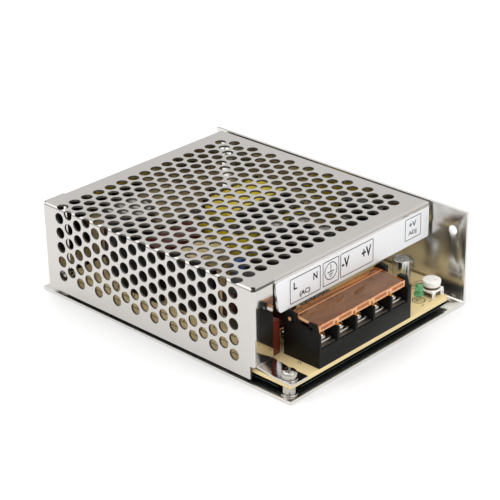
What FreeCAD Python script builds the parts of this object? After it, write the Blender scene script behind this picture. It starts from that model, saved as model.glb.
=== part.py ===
import FreeCAD, Part
import math
import os
import re
import Sketcher

V = FreeCAD.Vector
doc = FreeCAD.newDocument("mesh_case_supply")
sheet = doc.addObject("Spreadsheet::Sheet", "Dims")

# Driving dimensions in millimetres. The case stands on Z = 0 with its terminals towards -Y and its
# tall side wall at +X, and X = 0, Y = 0 is the middle of its base.
SIZES = {
    # the case and its two folded sheets
    "case_length": 129.0,
    "case_width": 98.0,
    "case_height": 38.0,
    "cut_overlap": 1.0,
    "chassis_gauge": 1.2,
    "chassis_bend": 0.8,
    "cover_gauge": 0.8,
    "cover_bend": 0.4,
    "fold_flats": 1,
    "terminal_shelf": 16.5,
    "rear_shelf": 3.5,
    "cover_wall_gap": 1.5,
    "cover_base_gap": 1.6,
    "wall_hole_bore": 3.5,
    "wall_hole_inset": 6.4,
    "wall_hole_drop": 8.9,
    "base_hole_bore": 3.5,
    "base_hole_spread_x": 60.0,
    "base_hole_spread_y": 90.0,
    "drain_hole_bore": 2.0,
    "drain_hole_inset_x": 3.4,
    "drain_hole_inset_y": 5.1,
    "rear_tab_width": 12.0,
    "rear_tab_height": 10.0,
    "rear_tab_gap": 0.15,
    "rear_tab_hole_drop": 3.4,
    "tab_hole_clearance": 0.1,
    # the perforation: staggered lines of round holes, with plain sheet left along the edges
    "hole_bore": 4.5,
    "hole_sides": 5,
    "hole_pitch": 6.0,
    "line_pitch": 5.0,
    "line_margin": 9.0,
    "top_start": 1.95,
    "top_margin": 6.0,
    "side_start": 4.1,
    "side_margin": 7.0,
    "fold_hole_high": 1.0,
    "fold_hole_low": 0.4,
    "fold_hole_narrowing": 0.88,
    # the folded ends of the cover
    "lip_height": 13.7,
    "lip_slant": 1.5,
    "lip_corner": 1.5,
    "flange_width": 9.6,
    "flange_gap": 1.2,
    "fold_slit": 0.2,
    "relief_bore": 1.2,
    "notch_depth": 2.0,
    "notch_height": 5.2,
    "foot_width": 8.0,
    "foot_rise": 1.0,
    "foot_level": 8.0,
    "foot_tip_inset": 0.4,
    "label_thickness": 0.15,
    "label_margin": 0.5,
    # the board and what it stands on
    "board_thickness": 1.6,
    "board_wall_gap": 1.0,
    "board_front_inset": 1.4,
    "board_rear_inset": 7.0,
    "board_notch_width": 6.5,
    "board_notch_depth": 14.0,
    "board_corner": 1.1,
    "standoff_height": 3.6,
    "standoff_width": 4.6,
    "standoff_flange": 5.8,
    "standoff_flange_height": 0.5,
    "standoff_inset_x": 2.3,
    "standoff_inset_y": 2.8,
    "standoff_rear_drop": 10.0,
    "film_thickness": 0.2,
    "film_drop": 1.2,
    "film_clearance": 0.05,
    "film_inset": 0.3,
    # screws and washers
    "screw_shank": 2.9,
    "screw_clearance": 0.1,
    "screw_head": 5.6,
    "screw_length": 5.4,
    "screw_root": 0.5,
    "screw_head_height": 2.2,
    "cross_width": 0.9,
    "cross_span": 3.4,
    "cross_depth": 1.2,
    "flat_washer_width": 6.2,
    "flat_washer_thickness": 0.5,
    "spring_washer_width": 5.2,
    "spring_washer_thickness": 0.7,
    # the terminal block, its clamps and its flip cover
    "ways": 5,
    "way_pitch": 9.6,
    "block_in": 16.4,
    "block_end_left": 1.1,
    "block_end_right": 2.1,
    "partition": 1.2,
    "block_depth": 16.5,
    "well_floor": 7.4,
    "block_back_height": 12.2,
    "block_back_depth": 4.8,
    "partition_height": 12.7,
    "partition_depth": 15.5,
    "partition_root": 0.5,
    "ear_width": 1.1,
    "ear_front_in": 1.0,
    "ear_front_depth": 4.1,
    "ear_front_height": 16.6,
    "ear_land_height": 14.0,
    "ear_rear_depth": 5.4,
    "ear_rear_in": 0.4,
    "ear_rear_height": 18.3,
    "ear_chamfer": 2.2,
    "ear_slant": 0.8,
    "ear_foot": 1.0,
    "latch_hole": 1.6,
    "latch_y": 4.0,
    "latch_height": 14.3,
    "pivot_height": 14.8,
    "pivot_y": 13.7,
    "pivot_pin": 1.4,
    "pivot_clearance": 0.06,
    "lid_thickness": 1.1,
    "lid_top_rear": 16.7,
    "lid_top_front": 15.7,
    "lid_rear_y": 14.6,
    "lid_front_y": 1.2,
    "lid_lip": 2.4,
    "lid_side_gap": 0.3,
    "lid_slot": 1.0,
    "lid_lug": 1.2,
    "lid_lug_reach": 1.2,
    "lid_lug_lean": 0.4,
    "clamp_width": 6.4,
    "clamp_thickness": 1.0,
    "clamp_y": 4.9,
    "contact_width": 7.4,
    "contact_depth": 7.6,
    "contact_thickness": 0.6,
    "clamp_screw_head": 5.0,
    "clamp_screw_height": 2.0,
    "clamp_screw_shank": 2.6,
    "clamp_screw_length": 5.0,
    "clamp_screw_bore": 3.2,
    "clamp_screw_well": 4.5,
    "clamp_plate_bore": 2.8,
    "contact_front": 0.6,
    "clamp_slot_width": 0.8,
    "clamp_slot_depth": 0.9,
    # the light and the trimmer beside the block, measured from the right and front edges
    "light_bore": 3.0,
    "light_in": 19.1,
    "light_back": 7.5,
    "light_base": 2.2,
    "light_height": 4.7,
    "light_rim": 3.8,
    "light_rim_height": 0.9,
    "light_leg": 0.5,
    "light_leg_pitch": 1.8,
    "trimmer_in": 12.2,
    "trimmer_back": 7.0,
    "trimmer_bore": 7.0,
    "trimmer_disc_height": 2.3,
    "trimmer_rise": 2.0,
    "trimmer_frame": 6.6,
    "trimmer_frame_height": 1.1,
    "trimmer_foot": 1.1,
    "trimmer_wafer": 6.2,
    "trimmer_wafer_height": 0.9,
    "trimmer_hub": 1.8,
    "trimmer_clearance": 0.05,
    "trimmer_slot": 1.0,
    "trimmer_slot_span": 4.2,
    "trimmer_slot_depth": 0.9,
    # the transformer, measured from the right and rear edges
    "core_in": 33.2,
    "core_ahead": 48.0,
    "core_width": 37.0,
    "core_depth": 26.0,
    "core_height": 13.0,
    "core_yoke": 3.5,
    "core_leg": 3.2,
    "core_centre": 9.0,
    "core_level": 7.2,
    "core_tape": 0.2,
    "core_tape_height": 11.0,
    "bobbin_wall": 1.0,
    "bobbin_gap": 0.15,
    "bobbin_height": 25.0,
    "bobbin_level": 1.4,
    "bobbin_rail_height": 2.6,
    "winding_height": 23.6,
    "winding_level": 3.0,
    "winding_gap": 0.1,
    "winding_corner": 3.0,
    # round cans; those of the output stand ahead of the transformer
    "bulk_in": 25.5,
    "bulk_ahead": 23.5,
    "bulk_bore": 20.0,
    "bulk_height": 26.6,
    "output_can": 10.0,
    "output_can_height": 21.6,
    "first_can_left": 4.8,
    "first_can_ahead": 19.6,
    "second_can_right": 4.4,
    "second_can_ahead": 24.4,
    "third_can_right": 3.3,
    "third_can_ahead": 36.0,
    "start_can": 6.3,
    "start_can_height": 11.5,
    "start_can_left": 14.3,
    "start_can_ahead": 16.7,
    "small_can_in": 14.1,
    "small_can_back": 19.9,
    "small_can": 7.0,
    "small_can_height": 11.5,
    # box-shaped capacitors and the bridge, along the left edge
    "film_part_in": 20.0,
    "film_part_ahead": 39.75,
    "film_part_gap": 1.1,
    "film_part_depth": 9.5,
    "film_part_height": 18.0,
    "filter_in": 24.0,
    "filter_ahead": 52.5,
    "filter_gap": 2.9,
    "filter_depth": 14.0,
    "filter_height": 15.6,
    "input_part_in": 13.5,
    "input_part_back": 23.0,
    "input_part_width": 5.0,
    "input_part_depth": 8.0,
    "input_part_height": 13.6,
    "bridge_in": 14.5,
    "bridge_ahead": 40.5,
    "bridge_width": 4.0,
    "bridge_depth": 22.0,
    "bridge_height": 20.0,
    # the mains filter's choke and the fuse, measured from the left and front edges
    "choke_in": 25.0,
    "choke_back": 37.5,
    "choke_width": 14.0,
    "choke_depth": 20.0,
    "choke_height": 18.0,
    "choke_core": 4.0,
    "coil_thickness": 1.4,
    "coil_gap": 0.1,
    "fuse_in": 29.0,
    "fuse_back": 22.2,
    "fuse_bore": 5.0,
    "fuse_length": 18.0,
    "fuse_cap": 5.0,
    "fuse_clip_wall": 0.5,
    "fuse_rise": 1.0,
    "fuse_glass_inset": 0.2,
    # the transistor on its standing heat sink
    "sink_in": 16.0,
    "sink_back": 50.5,
    "sink_ahead": 53.5,
    "sink_plate": 2.0,
    "sink_height": 22.0,
    "transistor_width": 10.0,
    "transistor_depth": 4.5,
    "transistor_height": 15.0,
    "transistor_level": 4.0,
    "leg_band_width": 6.0,
    "leg_band_thickness": 0.6,
    "leg_sink": 0.2,
    # the output rectifier against the side wall and the choke beside it
    "rectifier_ahead": 78.5,
    "rectifier_width": 15.0,
    "rectifier_depth": 4.7,
    "rectifier_height": 17.0,
    "rectifier_level": 3.0,
    "rectifier_leg_band": 12.0,
    "wall_pad": 0.3,
    "wall_pad_margin": 3.0,
    "wall_pad_height": 19.0,
    "clamp_bar": 2.0,
    "clamp_bar_length": 22.0,
    "clamp_bar_height": 6.0,
    "clamp_bar_level": 10.0,
    "toroid_in": 15.0,
    "toroid_ahead": 76.5,
    "toroid_bore": 7.0,
    "toroid_width": 16.0,
    "toroid_height": 7.0,
    # small parts
    "disc_left": 22.8,
    "disc_ahead": 16.5,
    "disc_bore": 7.0,
    "disc_depth": 3.6,
    "disc_rise": 5.5,
    "disc_leg": 0.8,
    "disc_leg_pitch": 4.0,
    "opto_in": 49.0,
    "opto_back": 44.5,
    "opto_width": 6.4,
    "opto_depth": 4.6,
    "opto_height": 3.4,
    "chip_in": 40.0,
    "chip_back": 40.5,
    "chip_width": 6.4,
    "chip_depth": 9.4,
    "chip_height": 3.6,
    "resistor_bore": 3.6,
    "resistor_length": 9.0,
    "resistor_pitch": 5.0,
    "resistors": 3,
    "resistor_in": 48.0,
    "resistor_back": 29.5,
}


def fill_sheet():
    """One row for each driving dimension: its name in column A and its number in column B."""
    for row, (name, number) in enumerate(SIZES.items(), start=1):
        sheet.set(f"A{row}", name)
        sheet.set(f"B{row}", str(number))
        sheet.setAlias(f"B{row}", name)
    doc.recompute()


fill_sheet()


def linked(expression):
    """An expression with the names of dimensions written as references to the sheet's cells."""
    text = str(expression)
    return re.sub(r"[a-z][a-z0-9_]*", lambda m: f"Dims.{m[0]}" if m[0] in SIZES else m[0], text)


def mm(expression):
    """The number that an expression gives now."""
    return float(sheet.evalExpression(str(expression)))


def bind(thing, path, expression):
    """Ties one property of an object to an expression of driving dimensions."""
    thing.setExpression(path, linked(expression))


def place(thing, x="0", y="0", z="0"):
    """Puts an object at a place that follows the sheet."""
    for axis, expression in zip("xyz", (x, y, z)):
        bind(thing, f"Placement.Base.{axis}", expression)
    return thing


# Places that many pieces share
LEFT = "(-case_width/2)"
RIGHT = "(case_width/2)"
FRONT = "(-case_length/2)"
REAR = "(case_length/2)"
WALL = "(case_width/2 - chassis_gauge)"
BOARD_UNDER = "(chassis_gauge + standoff_height)"
BOARD_TOP = "(chassis_gauge + standoff_height + board_thickness)"
COVER_FRONT = "(-case_length/2 + terminal_shelf)"
COVER_REAR = "(case_length/2 - rear_shelf)"
COVER_RIGHT = "(case_width/2 - chassis_gauge - cover_wall_gap)"
BOARD_LEFT = "(-case_width/2 + cover_gauge + board_wall_gap)"
BOARD_RIGHT = "(case_width/2 - chassis_gauge - board_wall_gap)"
BOARD_FRONT = "(-case_length/2 + board_front_inset)"
BOARD_REAR = "(case_length/2 - board_rear_inset)"
STANDOFF_LEFT = "(-case_width/2 + cover_gauge + board_wall_gap + standoff_inset_x)"
STANDOFF_RIGHT = "(case_width/2 - chassis_gauge - board_wall_gap - standoff_inset_x)"
STANDOFFS = [
    (STANDOFF_LEFT, "(-case_length/2 + board_front_inset + standoff_inset_y)"),
    (STANDOFF_LEFT, "(case_length/2 - board_rear_inset - standoff_inset_y)"),
    (STANDOFF_RIGHT, "(case_length/2 - board_rear_inset - standoff_inset_y)"),
    (STANDOFF_RIGHT,
     "(-case_length/2 + board_front_inset + board_notch_depth + standoff_inset_y + standoff_rear_drop)"),
]
BLOCK_LEFT = "(-case_width/2 + block_in)"
FIRST_PARTITION = "(-case_width/2 + block_in + block_end_left - partition/2)"
WAYS = range(int(SIZES["ways"]))
CORE_X = "(case_width/2 - core_in)"
CORE_Y = "(case_length/2 - core_ahead)"
CORE_LEFT = "(case_width/2 - core_in - core_width/2 - core_tape)"
FEW_SIDES = 8
MORE_SIDES = 12
CLOSE = 1e-6


def from_left(distance):
    """A place measured from the case's left edge."""
    return f"({LEFT} + {distance})"


def from_right(distance):
    """A place measured from the case's right edge."""
    return f"({RIGHT} - {distance})"


def from_front(distance):
    """A place measured from the case's front edge."""
    return f"({FRONT} + {distance})"


def from_rear(distance):
    """A place measured from the case's rear edge."""
    return f"({REAR} - {distance})"


# Helpers for bodies made of sketches and features
facing_plus = {}


def new_body(label):
    """A body whose label names the node."""
    body = doc.addObject("PartDesign::Body", label)
    body.Label = label
    return body


def sketch_on(body, role, level="0"):
    """An empty sketch parallel to one of the body's own planes, at a level on the world's axis."""
    sketch = body.newObject("Sketcher::SketchObject", f"{body.Name}_sketch")
    plane = [f for f in body.Origin.OriginFeatures if f.Role == role][0]
    sketch.AttachmentSupport = [(plane, "")]
    sketch.MapMode = "FlatFace"
    facing_plus[sketch.Name] = role != "XZ_Plane"
    bind(sketch, "AttachmentOffset.Base.z", level if facing_plus[sketch.Name] else f"-({level})")
    return sketch


def add_outline(sketch, points):
    """A closed outline of straight lines, each corner held by two distances from the origin."""
    first = sketch.GeometryCount
    values = [(mm(a), mm(b)) for a, b in points]
    count = len(points)
    for i, (a, b) in enumerate(values):
        c, d = values[(i + 1) % count]
        sketch.addGeometry(Part.LineSegment(V(a, b, 0), V(c, d, 0)))
    for i in range(count):
        sketch.addConstraint(Sketcher.Constraint("Coincident", first + i, 2, first + (i + 1) % count, 1))
    for i, (a, b) in enumerate(points):
        for kind, expression, value in (("DistanceX", a, values[i][0]), ("DistanceY", b, values[i][1])):
            number = sketch.addConstraint(Sketcher.Constraint(kind, -1, 1, first + i, 1, value))
            bind(sketch, f"Constraints[{number}]", expression)


def add_circle(sketch, x, y, radius):
    """A circle with its centre and radius tied to expressions."""
    centre = V(mm(x), mm(y), 0)
    index = sketch.addGeometry(Part.Circle(centre, V(0, 0, 1), mm(radius)))
    for kind, expression, value in (("DistanceX", x, centre.x), ("DistanceY", y, centre.y)):
        number = sketch.addConstraint(Sketcher.Constraint(kind, -1, 1, index, 3, value))
        bind(sketch, f"Constraints[{number}]", expression)
    number = sketch.addConstraint(Sketcher.Constraint("Radius", index, mm(radius)))
    bind(sketch, f"Constraints[{number}]", radius)


def pad(body, sketch, length, plus=True):
    """Adds the sketch's area as a solid of that length, towards the plus side of the axis."""
    feature = body.newObject("PartDesign::Pad", f"{body.Name}_pad")
    feature.Profile = sketch
    feature.Reversed = plus != facing_plus[sketch.Name]
    bind(feature, "Length", length)
    return feature


def pocket(body, sketch, length, plus=False):
    """Cuts the sketch's area out of the body and makes sure that something went."""
    doc.recompute()
    before = body.Shape.Volume
    feature = body.newObject("PartDesign::Pocket", f"{body.Name}_pocket")
    feature.Profile = sketch
    feature.Reversed = plus == facing_plus[sketch.Name]
    bind(feature, "Length", length)
    doc.recompute()
    if body.Shape.Volume >= before:
        raise RuntimeError(f"a pocket in {body.Label} cuts nothing")
    return feature


def round_edges(body, radius, wanted):
    """A fillet on each edge of the body whose middle the wanted function accepts."""
    doc.recompute()
    base = body.Tip
    names = []
    for number, edge in enumerate(base.Shape.Edges, start=1):
        middle = edge.valueAt((edge.FirstParameter + edge.LastParameter) / 2)
        if wanted(middle, edge):
            names.append(f"Edge{number}")
    fillet = body.newObject("PartDesign::Fillet", f"{body.Name}_round")
    fillet.Base = (base, names)
    bind(fillet, "Radius", radius)
    return fillet


# Helpers for pieces made of solids that are joined or cut
def block(name, size, corner):
    """A box of three bound lengths with its lowest corner at a bound place."""
    box = doc.addObject("Part::Box", name)
    for path, expression in zip(("Length", "Width", "Height"), size):
        bind(box, path, expression)
    return place(box, *corner)


def centred(name, width, depth, height, x, y, level):
    """A box by its middle, its size and the level of its foot."""
    return block(name, (width, depth, height), (f"{x} - ({width})/2", f"{y} - ({depth})/2", level))


def rod(name, radius, length, foot):
    """An upright cylinder from a bound foot."""
    cylinder = doc.addObject("Part::Cylinder", name)
    bind(cylinder, "Radius", radius)
    bind(cylinder, "Height", length)
    return place(cylinder, *foot)


def few_sided(name, width, length, foot, turned, sides):
    """A round bar drawn with few flats, turned from upright and set on its foot."""
    prism = doc.addObject("Part::Prism", name)
    prism.Polygon = int(sides)
    bind(prism, "Circumradius", f"({width})/2")
    bind(prism, "Height", length)
    prism.Placement.Rotation = turned
    return place(prism, *foot)


def peg(name, width, height, foot, sides=FEW_SIDES):
    """An upright round bar with few flats."""
    return few_sided(name, width, height, foot, FreeCAD.Rotation(), sides)


def bar_along_x(name, width, length, foot, sides=FEW_SIDES):
    """A round bar with few flats that lies towards +X."""
    return few_sided(name, width, length, foot, FreeCAD.Rotation(V(0, 1, 0), 90), sides)


def bar_along_y(name, width, length, foot, sides=FEW_SIDES):
    """A round bar with few flats that lies towards +Y."""
    return few_sided(name, width, length, foot, FreeCAD.Rotation(V(1, 0, 0), -90), sides)


def joined(name, pieces):
    """One solid out of pieces that meet."""
    fuse = doc.addObject("Part::MultiFuse", name)
    fuse.Shapes = pieces
    fuse.Refine = True
    return fuse


def without(name, base, tool):
    """The base with the tool's space taken away."""
    cut = doc.addObject("Part::Cut", name)
    cut.Base = base
    cut.Tool = tool
    return cut


def group(name, pieces):
    """Separate solids of one node."""
    compound = doc.addObject("Part::Compound", name)
    compound.Links = pieces
    return compound


nodes = []


def node(thing, label):
    """Marks a finished object as a node of the part."""
    thing.Label = label
    nodes.append(thing)
    return thing


# Chassis: base plate and tall side wall folded from one bright sheet
def make_chassis():
    body = new_body("folded_base")
    profile = sketch_on(body, "XZ_Plane", FRONT)
    add_outline(profile, [
        (LEFT, "0"), (RIGHT, "0"), (RIGHT, "case_height"), (WALL, "case_height"),
        (WALL, "chassis_gauge"), (LEFT, "chassis_gauge"),
    ])
    pad(body, profile, "case_length")
    round_edges(body, "chassis_bend", lambda middle, edge: abs(middle.x - mm(WALL)) < CLOSE and
                abs(middle.z - mm("chassis_gauge")) < CLOSE)
    round_edges(body, "chassis_bend + chassis_gauge", lambda middle, edge: abs(middle.z) < CLOSE and
                abs(middle.x - mm(RIGHT)) < CLOSE and edge.Length > mm("case_length") - CLOSE)
    walls = sketch_on(body, "YZ_Plane", f"{WALL} - cut_overlap")
    for y in (f"{FRONT} + wall_hole_inset", f"{REAR} - wall_hole_inset"):
        add_circle(walls, y, "case_height - wall_hole_drop", "wall_hole_bore/2")
    pocket(body, walls, "chassis_gauge + 2*cut_overlap", plus=True)
    base = sketch_on(body, "XY_Plane", "chassis_gauge + cut_overlap")
    for x in ("(-base_hole_spread_x/2)", "(base_hole_spread_x/2)"):
        for y in ("(-base_hole_spread_y/2)", "(base_hole_spread_y/2)"):
            add_circle(base, x, y, "base_hole_bore/2")
    pocket(body, base, "chassis_gauge + 2*cut_overlap")
    tab = sketch_on(body, "YZ_Plane", "(-rear_tab_width/2)")
    inner = f"({COVER_REAR} + rear_tab_gap)"
    outer = f"({COVER_REAR} + rear_tab_gap + chassis_gauge)"
    add_outline(tab, [
        (inner, "chassis_gauge/2"), (outer, "chassis_gauge/2"), (outer, "rear_tab_height"),
        (inner, "rear_tab_height"),
    ])
    pad(body, tab, "rear_tab_width")
    drain = peg("drain_hole", "drain_hole_bore", "chassis_gauge",
                (from_right("drain_hole_inset_x"), from_front("drain_hole_inset_y"), "0"))
    tab_hole = bar_along_y("tab_hole", "screw_shank + 2*tab_hole_clearance", "chassis_gauge",
                           ("0", inner, "rear_tab_height - rear_tab_hole_drop"))
    return node(without("chassis", body, group("chassis_holes", [drain, tab_hole])), "chassis")


# Mesh cover: one perforated sheet folded to a top, a left side, a rear wall, a front lip for the
# label and two corner flanges, the front one with a foot that the corner screw holds down
def hole_outline(centre, across, along, reach, narrowing=1.0):
    """A punched hole's outline: a few flats whose corners lie on the round punch."""
    sides = int(round(mm("hole_sides")))
    corners = []
    for i in range(sides + 1):
        angle = 2 * math.pi * i / sides
        sideways = across * (reach * narrowing * math.sin(angle))
        corners.append(centre + sideways + along * (reach * math.cos(angle)))
    return Part.makePolygon(corners)


def panel(corners, holes, thickness):
    """A flat panel with its holes, thickened along a vector."""
    outline = Part.makePolygon(corners + [corners[0]])
    face = Part.Face([outline] + holes) if holes else Part.Face(outline)
    return face.extrude(thickness)


def flat_fold(start, axis, inner, gauge, first_side, second_side, length):
    """The bend between two panels as flats, where holes run across it."""
    flats = int(round(mm("fold_flats")))
    steps = [math.pi / 2 * i / (flats + 1) for i in range(flats + 2)]
    ways = [first_side * math.cos(angle) + second_side * math.sin(angle) for angle in steps]
    corners = [start + way * (inner + gauge) for way in ways]
    corners += [start + way * inner for way in reversed(ways)]
    return Part.Face(Part.makePolygon(corners + [corners[0]])).extrude(axis * length)


def quarter_fold(start, axis, inner, gauge, first_side, second_side, length):
    """The bend between two panels: a quarter ring swept along the fold."""
    outer = inner + gauge
    half = (first_side + second_side).normalize()
    edges = [
        Part.Arc(start + first_side * outer, start + half * outer, start + second_side * outer).toShape(),
        Part.makeLine(start + second_side * outer, start + second_side * inner),
        Part.Arc(start + second_side * inner, start + half * inner, start + first_side * inner).toShape(),
        Part.makeLine(start + first_side * inner, start + first_side * outer),
    ]
    return Part.Face(Part.Wire(edges)).extrude(axis * length)


def how_many(length, pitch):
    """Holes that fit on a length, the first one at its start."""
    return int(math.floor(length / pitch + CLOSE)) + 1


def hole_places(front, rear):
    """Each line of holes: its place along the case and its shift by half a pitch."""
    pitch = mm("line_pitch")
    lines = how_many(rear - front - 2 * mm("line_margin"), pitch)
    first_line = (front + rear - (lines - 1) * pitch) / 2
    return [(first_line + line * pitch, line % 2) for line in range(lines)]


def punch_outlines(left, right, front, rear, top, low, outer):
    """The holes of the top and of the side, and the tools that cut the holes that lie across the fold."""
    x_axis, y_axis, z_axis = V(1, 0, 0), V(0, 1, 0), V(0, 0, 1)
    reach, pitch = mm("hole_bore/2"), mm("hole_pitch")
    slope, up_slope = V(-1, 0, 1).normalize(), V(1, 0, 1).normalize()
    top_holes, side_holes, fold_tools = [], [], []
    for y, odd in hole_places(front, rear):
        shift = odd * pitch / 2
        start = left + mm("top_start") + shift
        for i in range(how_many(right - mm("top_margin") - start, pitch)):
            x = start + i * pitch
            if x - reach > left + outer:
                top_holes.append(hole_outline(V(x, y, top), x_axis, y_axis, reach))
        start = top - mm("side_start") + shift
        for i in range(how_many(start - low - mm("side_margin"), pitch)):
            z = start - i * pitch
            if z + reach < top - outer:
                side_holes.append(hole_outline(V(left, y, z), z_axis, y_axis, reach))
        slide = -mm("fold_hole_low") if odd else mm("fold_hole_high")
        corner = V(left, y, top) + up_slope * slide - slope * 2 * outer
        outline = hole_outline(corner, up_slope, y_axis, reach, mm("fold_hole_narrowing"))
        fold_tools.append(Part.Face(outline).extrude(slope * 3 * outer))
    return top_holes, side_holes, fold_tools


def make_mesh_cover():
    x_axis, y_axis, z_axis = V(1, 0, 0), V(0, 1, 0), V(0, 0, 1)
    gauge, inner = mm("cover_gauge"), mm("cover_bend")
    outer = gauge + inner
    left, right = mm(LEFT), mm(COVER_RIGHT)
    front, rear = mm(COVER_FRONT), mm(COVER_REAR)
    top, low = mm("case_height"), mm("chassis_gauge + cover_base_gap")
    flange_right = left + mm("flange_width")
    lip_left = flange_right + mm("flange_gap")
    slit = mm("fold_slit")
    top_holes, side_holes, fold_tools = punch_outlines(left, right, front, rear, top, low, outer)
    top_corners = [
        V(left + outer, front, top), V(lip_left - slit, front, top), V(lip_left - slit, front + outer, top),
        V(right, front + outer, top), V(right, rear - outer, top), V(lip_left - slit, rear - outer, top),
        V(lip_left - slit, rear, top), V(left + outer, rear, top),
    ]
    notch_y, notch_z = front + mm("notch_depth"), low + mm("notch_height")
    side_corners = [
        V(left, front + outer, top - outer), V(left, rear - outer, top - outer), V(left, rear - outer, low),
        V(left, notch_y, low), V(left, notch_y, notch_z), V(left, front + outer, notch_z),
    ]
    lip_foot = top - mm("lip_height")
    slant = mm("lip_slant")
    corner = mm("lip_corner")
    lip = panel([
        V(lip_left, front, top - outer), V(right, front, top - outer), V(right, front, lip_foot),
        V(lip_left + slant + corner, front, lip_foot), V(lip_left + slant, front, lip_foot + corner),
    ], [], y_axis * gauge)
    rear_wall = panel([
        V(lip_left, rear, top - outer), V(right, rear, top - outer),
        V(right, rear, low), V(lip_left, rear, low),
    ], [], y_axis * -gauge)
    flange_foot = mm(BOARD_TOP) + mm("foot_rise") + outer
    front_flange = panel([
        V(left + outer, front, top - gauge - slit), V(flange_right, front, top - gauge - slit),
        V(flange_right, front, flange_foot), V(left + outer, front, flange_foot),
    ], [], y_axis * gauge)
    rear_flange = panel([
        V(left + outer, rear, top - gauge - slit), V(flange_right, rear, top - gauge - slit),
        V(flange_right, rear, low), V(left + outer, rear, low),
    ], [], y_axis * -gauge)
    foot_top = mm(BOARD_TOP) + gauge
    foot_start = V(flange_right - mm("foot_width"), front - inner, flange_foot)
    level_y = front - mm("foot_level")
    tip_y = mm(FRONT) + mm("foot_tip_inset")
    foot_left = flange_right - mm("foot_width")
    bend_low = flange_foot - outer
    foot = panel([
        V(foot_left, front - inner, bend_low), V(foot_left, level_y, foot_top - gauge),
        V(foot_left, tip_y, foot_top - gauge), V(foot_left, tip_y, foot_top),
        V(foot_left, level_y, foot_top), V(foot_left, front - inner, bend_low + gauge),
    ], [], x_axis * mm("foot_width"))
    pieces = [
        panel(top_corners, top_holes, z_axis * -gauge),
        panel(side_corners, side_holes, x_axis * gauge),
        lip,
        rear_wall,
        front_flange,
        rear_flange,
        foot,
        flat_fold(V(left + outer, front, top - outer), y_axis, inner, gauge, -x_axis, z_axis, rear - front),
        quarter_fold(V(lip_left, front + outer, top - outer), x_axis, inner, gauge, -y_axis, z_axis,
                     right - lip_left),
        quarter_fold(V(lip_left, rear - outer, top - outer), x_axis, inner, gauge, y_axis, z_axis,
                     right - lip_left),
        quarter_fold(V(left + outer, front + outer, notch_z), z_axis, inner, gauge, -x_axis, -y_axis,
                     top - gauge - slit - notch_z),
        quarter_fold(V(left + outer, rear - outer, low), z_axis, inner, gauge, -x_axis, y_axis,
                     top - gauge - slit - low),
        quarter_fold(foot_start, x_axis, inner, gauge, y_axis, -z_axis, mm("foot_width")),
    ]
    shell = pieces[0].fuse(pieces[1:]).removeSplitter()
    shell = shell.cut(fold_tools)
    screw_bore = Part.makeCylinder(mm("screw_shank/2 + screw_clearance"), 4 * gauge,
                                   V(mm(STANDOFFS[0][0]), mm(STANDOFFS[0][1]), mm(BOARD_TOP) - gauge))
    tab_bore = Part.makeCylinder(mm("screw_shank/2"), 4 * gauge,
                                 V(0, rear - 2 * gauge, mm("rear_tab_height - rear_tab_hole_drop")), y_axis)
    relief_foot = V(left + outer, front + outer, top - 2 * gauge)
    relief = Part.makeCylinder(mm("relief_bore/2"), 3 * gauge, relief_foot)
    shell = shell.cut([screw_bore, tab_bore, relief])
    cover = doc.addObject("Part::Feature", "mesh_cover")
    cover.Shape = shell
    return node(cover, "mesh_cover")


# Label strip on the cover's front lip
def make_label_strip():
    width = f"({COVER_RIGHT} - {LEFT} - flange_width - flange_gap - lip_slant - 2*label_margin)"
    height = "lip_height - cover_gauge - cover_bend - 2*label_margin"
    strip = block("label_strip", (width, "label_thickness", height),
                  (f"{COVER_RIGHT} - label_margin - {width}", f"{COVER_FRONT} - label_thickness",
                   "case_height - lip_height + label_margin"))
    return node(strip, "label_strip")


# Circuit board with its step at the front right and four screw holes
def board_outline(drop):
    """Corners of the board, or of the film under it, drawn in by a distance."""
    left, right = f"{BOARD_LEFT} + {drop}", f"{BOARD_RIGHT} - {drop}"
    front, rear = f"{BOARD_FRONT} + {drop}", f"{BOARD_REAR} - {drop}"
    notch = f"{BOARD_RIGHT} - board_notch_width - {drop}"
    step = f"{BOARD_FRONT} + board_notch_depth + {drop}"
    return left, right, front, rear, notch, step


def make_circuit_board():
    body = new_body("board_blank")
    left, right, front, rear, notch, step = board_outline("0")
    outline = sketch_on(body, "XY_Plane", BOARD_UNDER)
    add_outline(outline, [
        (left, front), (f"{notch} - board_corner", front), (notch, f"{front} + board_corner"), (notch, step),
        (right, step), (right, rear), (left, rear),
    ])
    pad(body, outline, "board_thickness")
    bores = [peg(f"board_bore_{i}", "screw_shank + 2*screw_clearance", "board_thickness", (x, y, BOARD_UNDER))
             for i, (x, y) in enumerate(STANDOFFS)]
    return node(without("circuit_board", body, group("board_bores", bores)), "circuit_board")


def make_insulating_film():
    body = new_body("film_blank")
    left, right, front, rear, notch, step = board_outline("film_inset")
    level = f"{BOARD_UNDER} - film_drop - film_thickness"
    outline = sketch_on(body, "XY_Plane", level)
    add_outline(outline, [
        (left, front), (notch, front), (notch, step), (right, step), (right, rear), (left, rear),
    ])
    pad(body, outline, "film_thickness")
    bores = [peg(f"film_bore_{i}", "standoff_width + 2*film_clearance", "film_thickness", (x, y, level))
             for i, (x, y) in enumerate(STANDOFFS)]
    return node(without("insulating_film", body, group("film_bores", bores)), "insulating_film")


def make_standoffs():
    bars = []
    for i, (x, y) in enumerate(STANDOFFS):
        seat = (x, y, "chassis_gauge")
        foot = peg(f"standoff_foot_{i}", "standoff_flange", "standoff_flange_height", seat)
        post = peg(f"standoff_post_{i}", "standoff_width", "standoff_height", seat)
        bore = peg(f"standoff_bore_{i}", "screw_shank + 2*screw_clearance", "standoff_height", seat)
        bars.append(without(f"standoff_{i}", joined(f"standoff_bar_{i}", [foot, post]), bore))
    return node(group("standoffs", bars), "standoffs")


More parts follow.
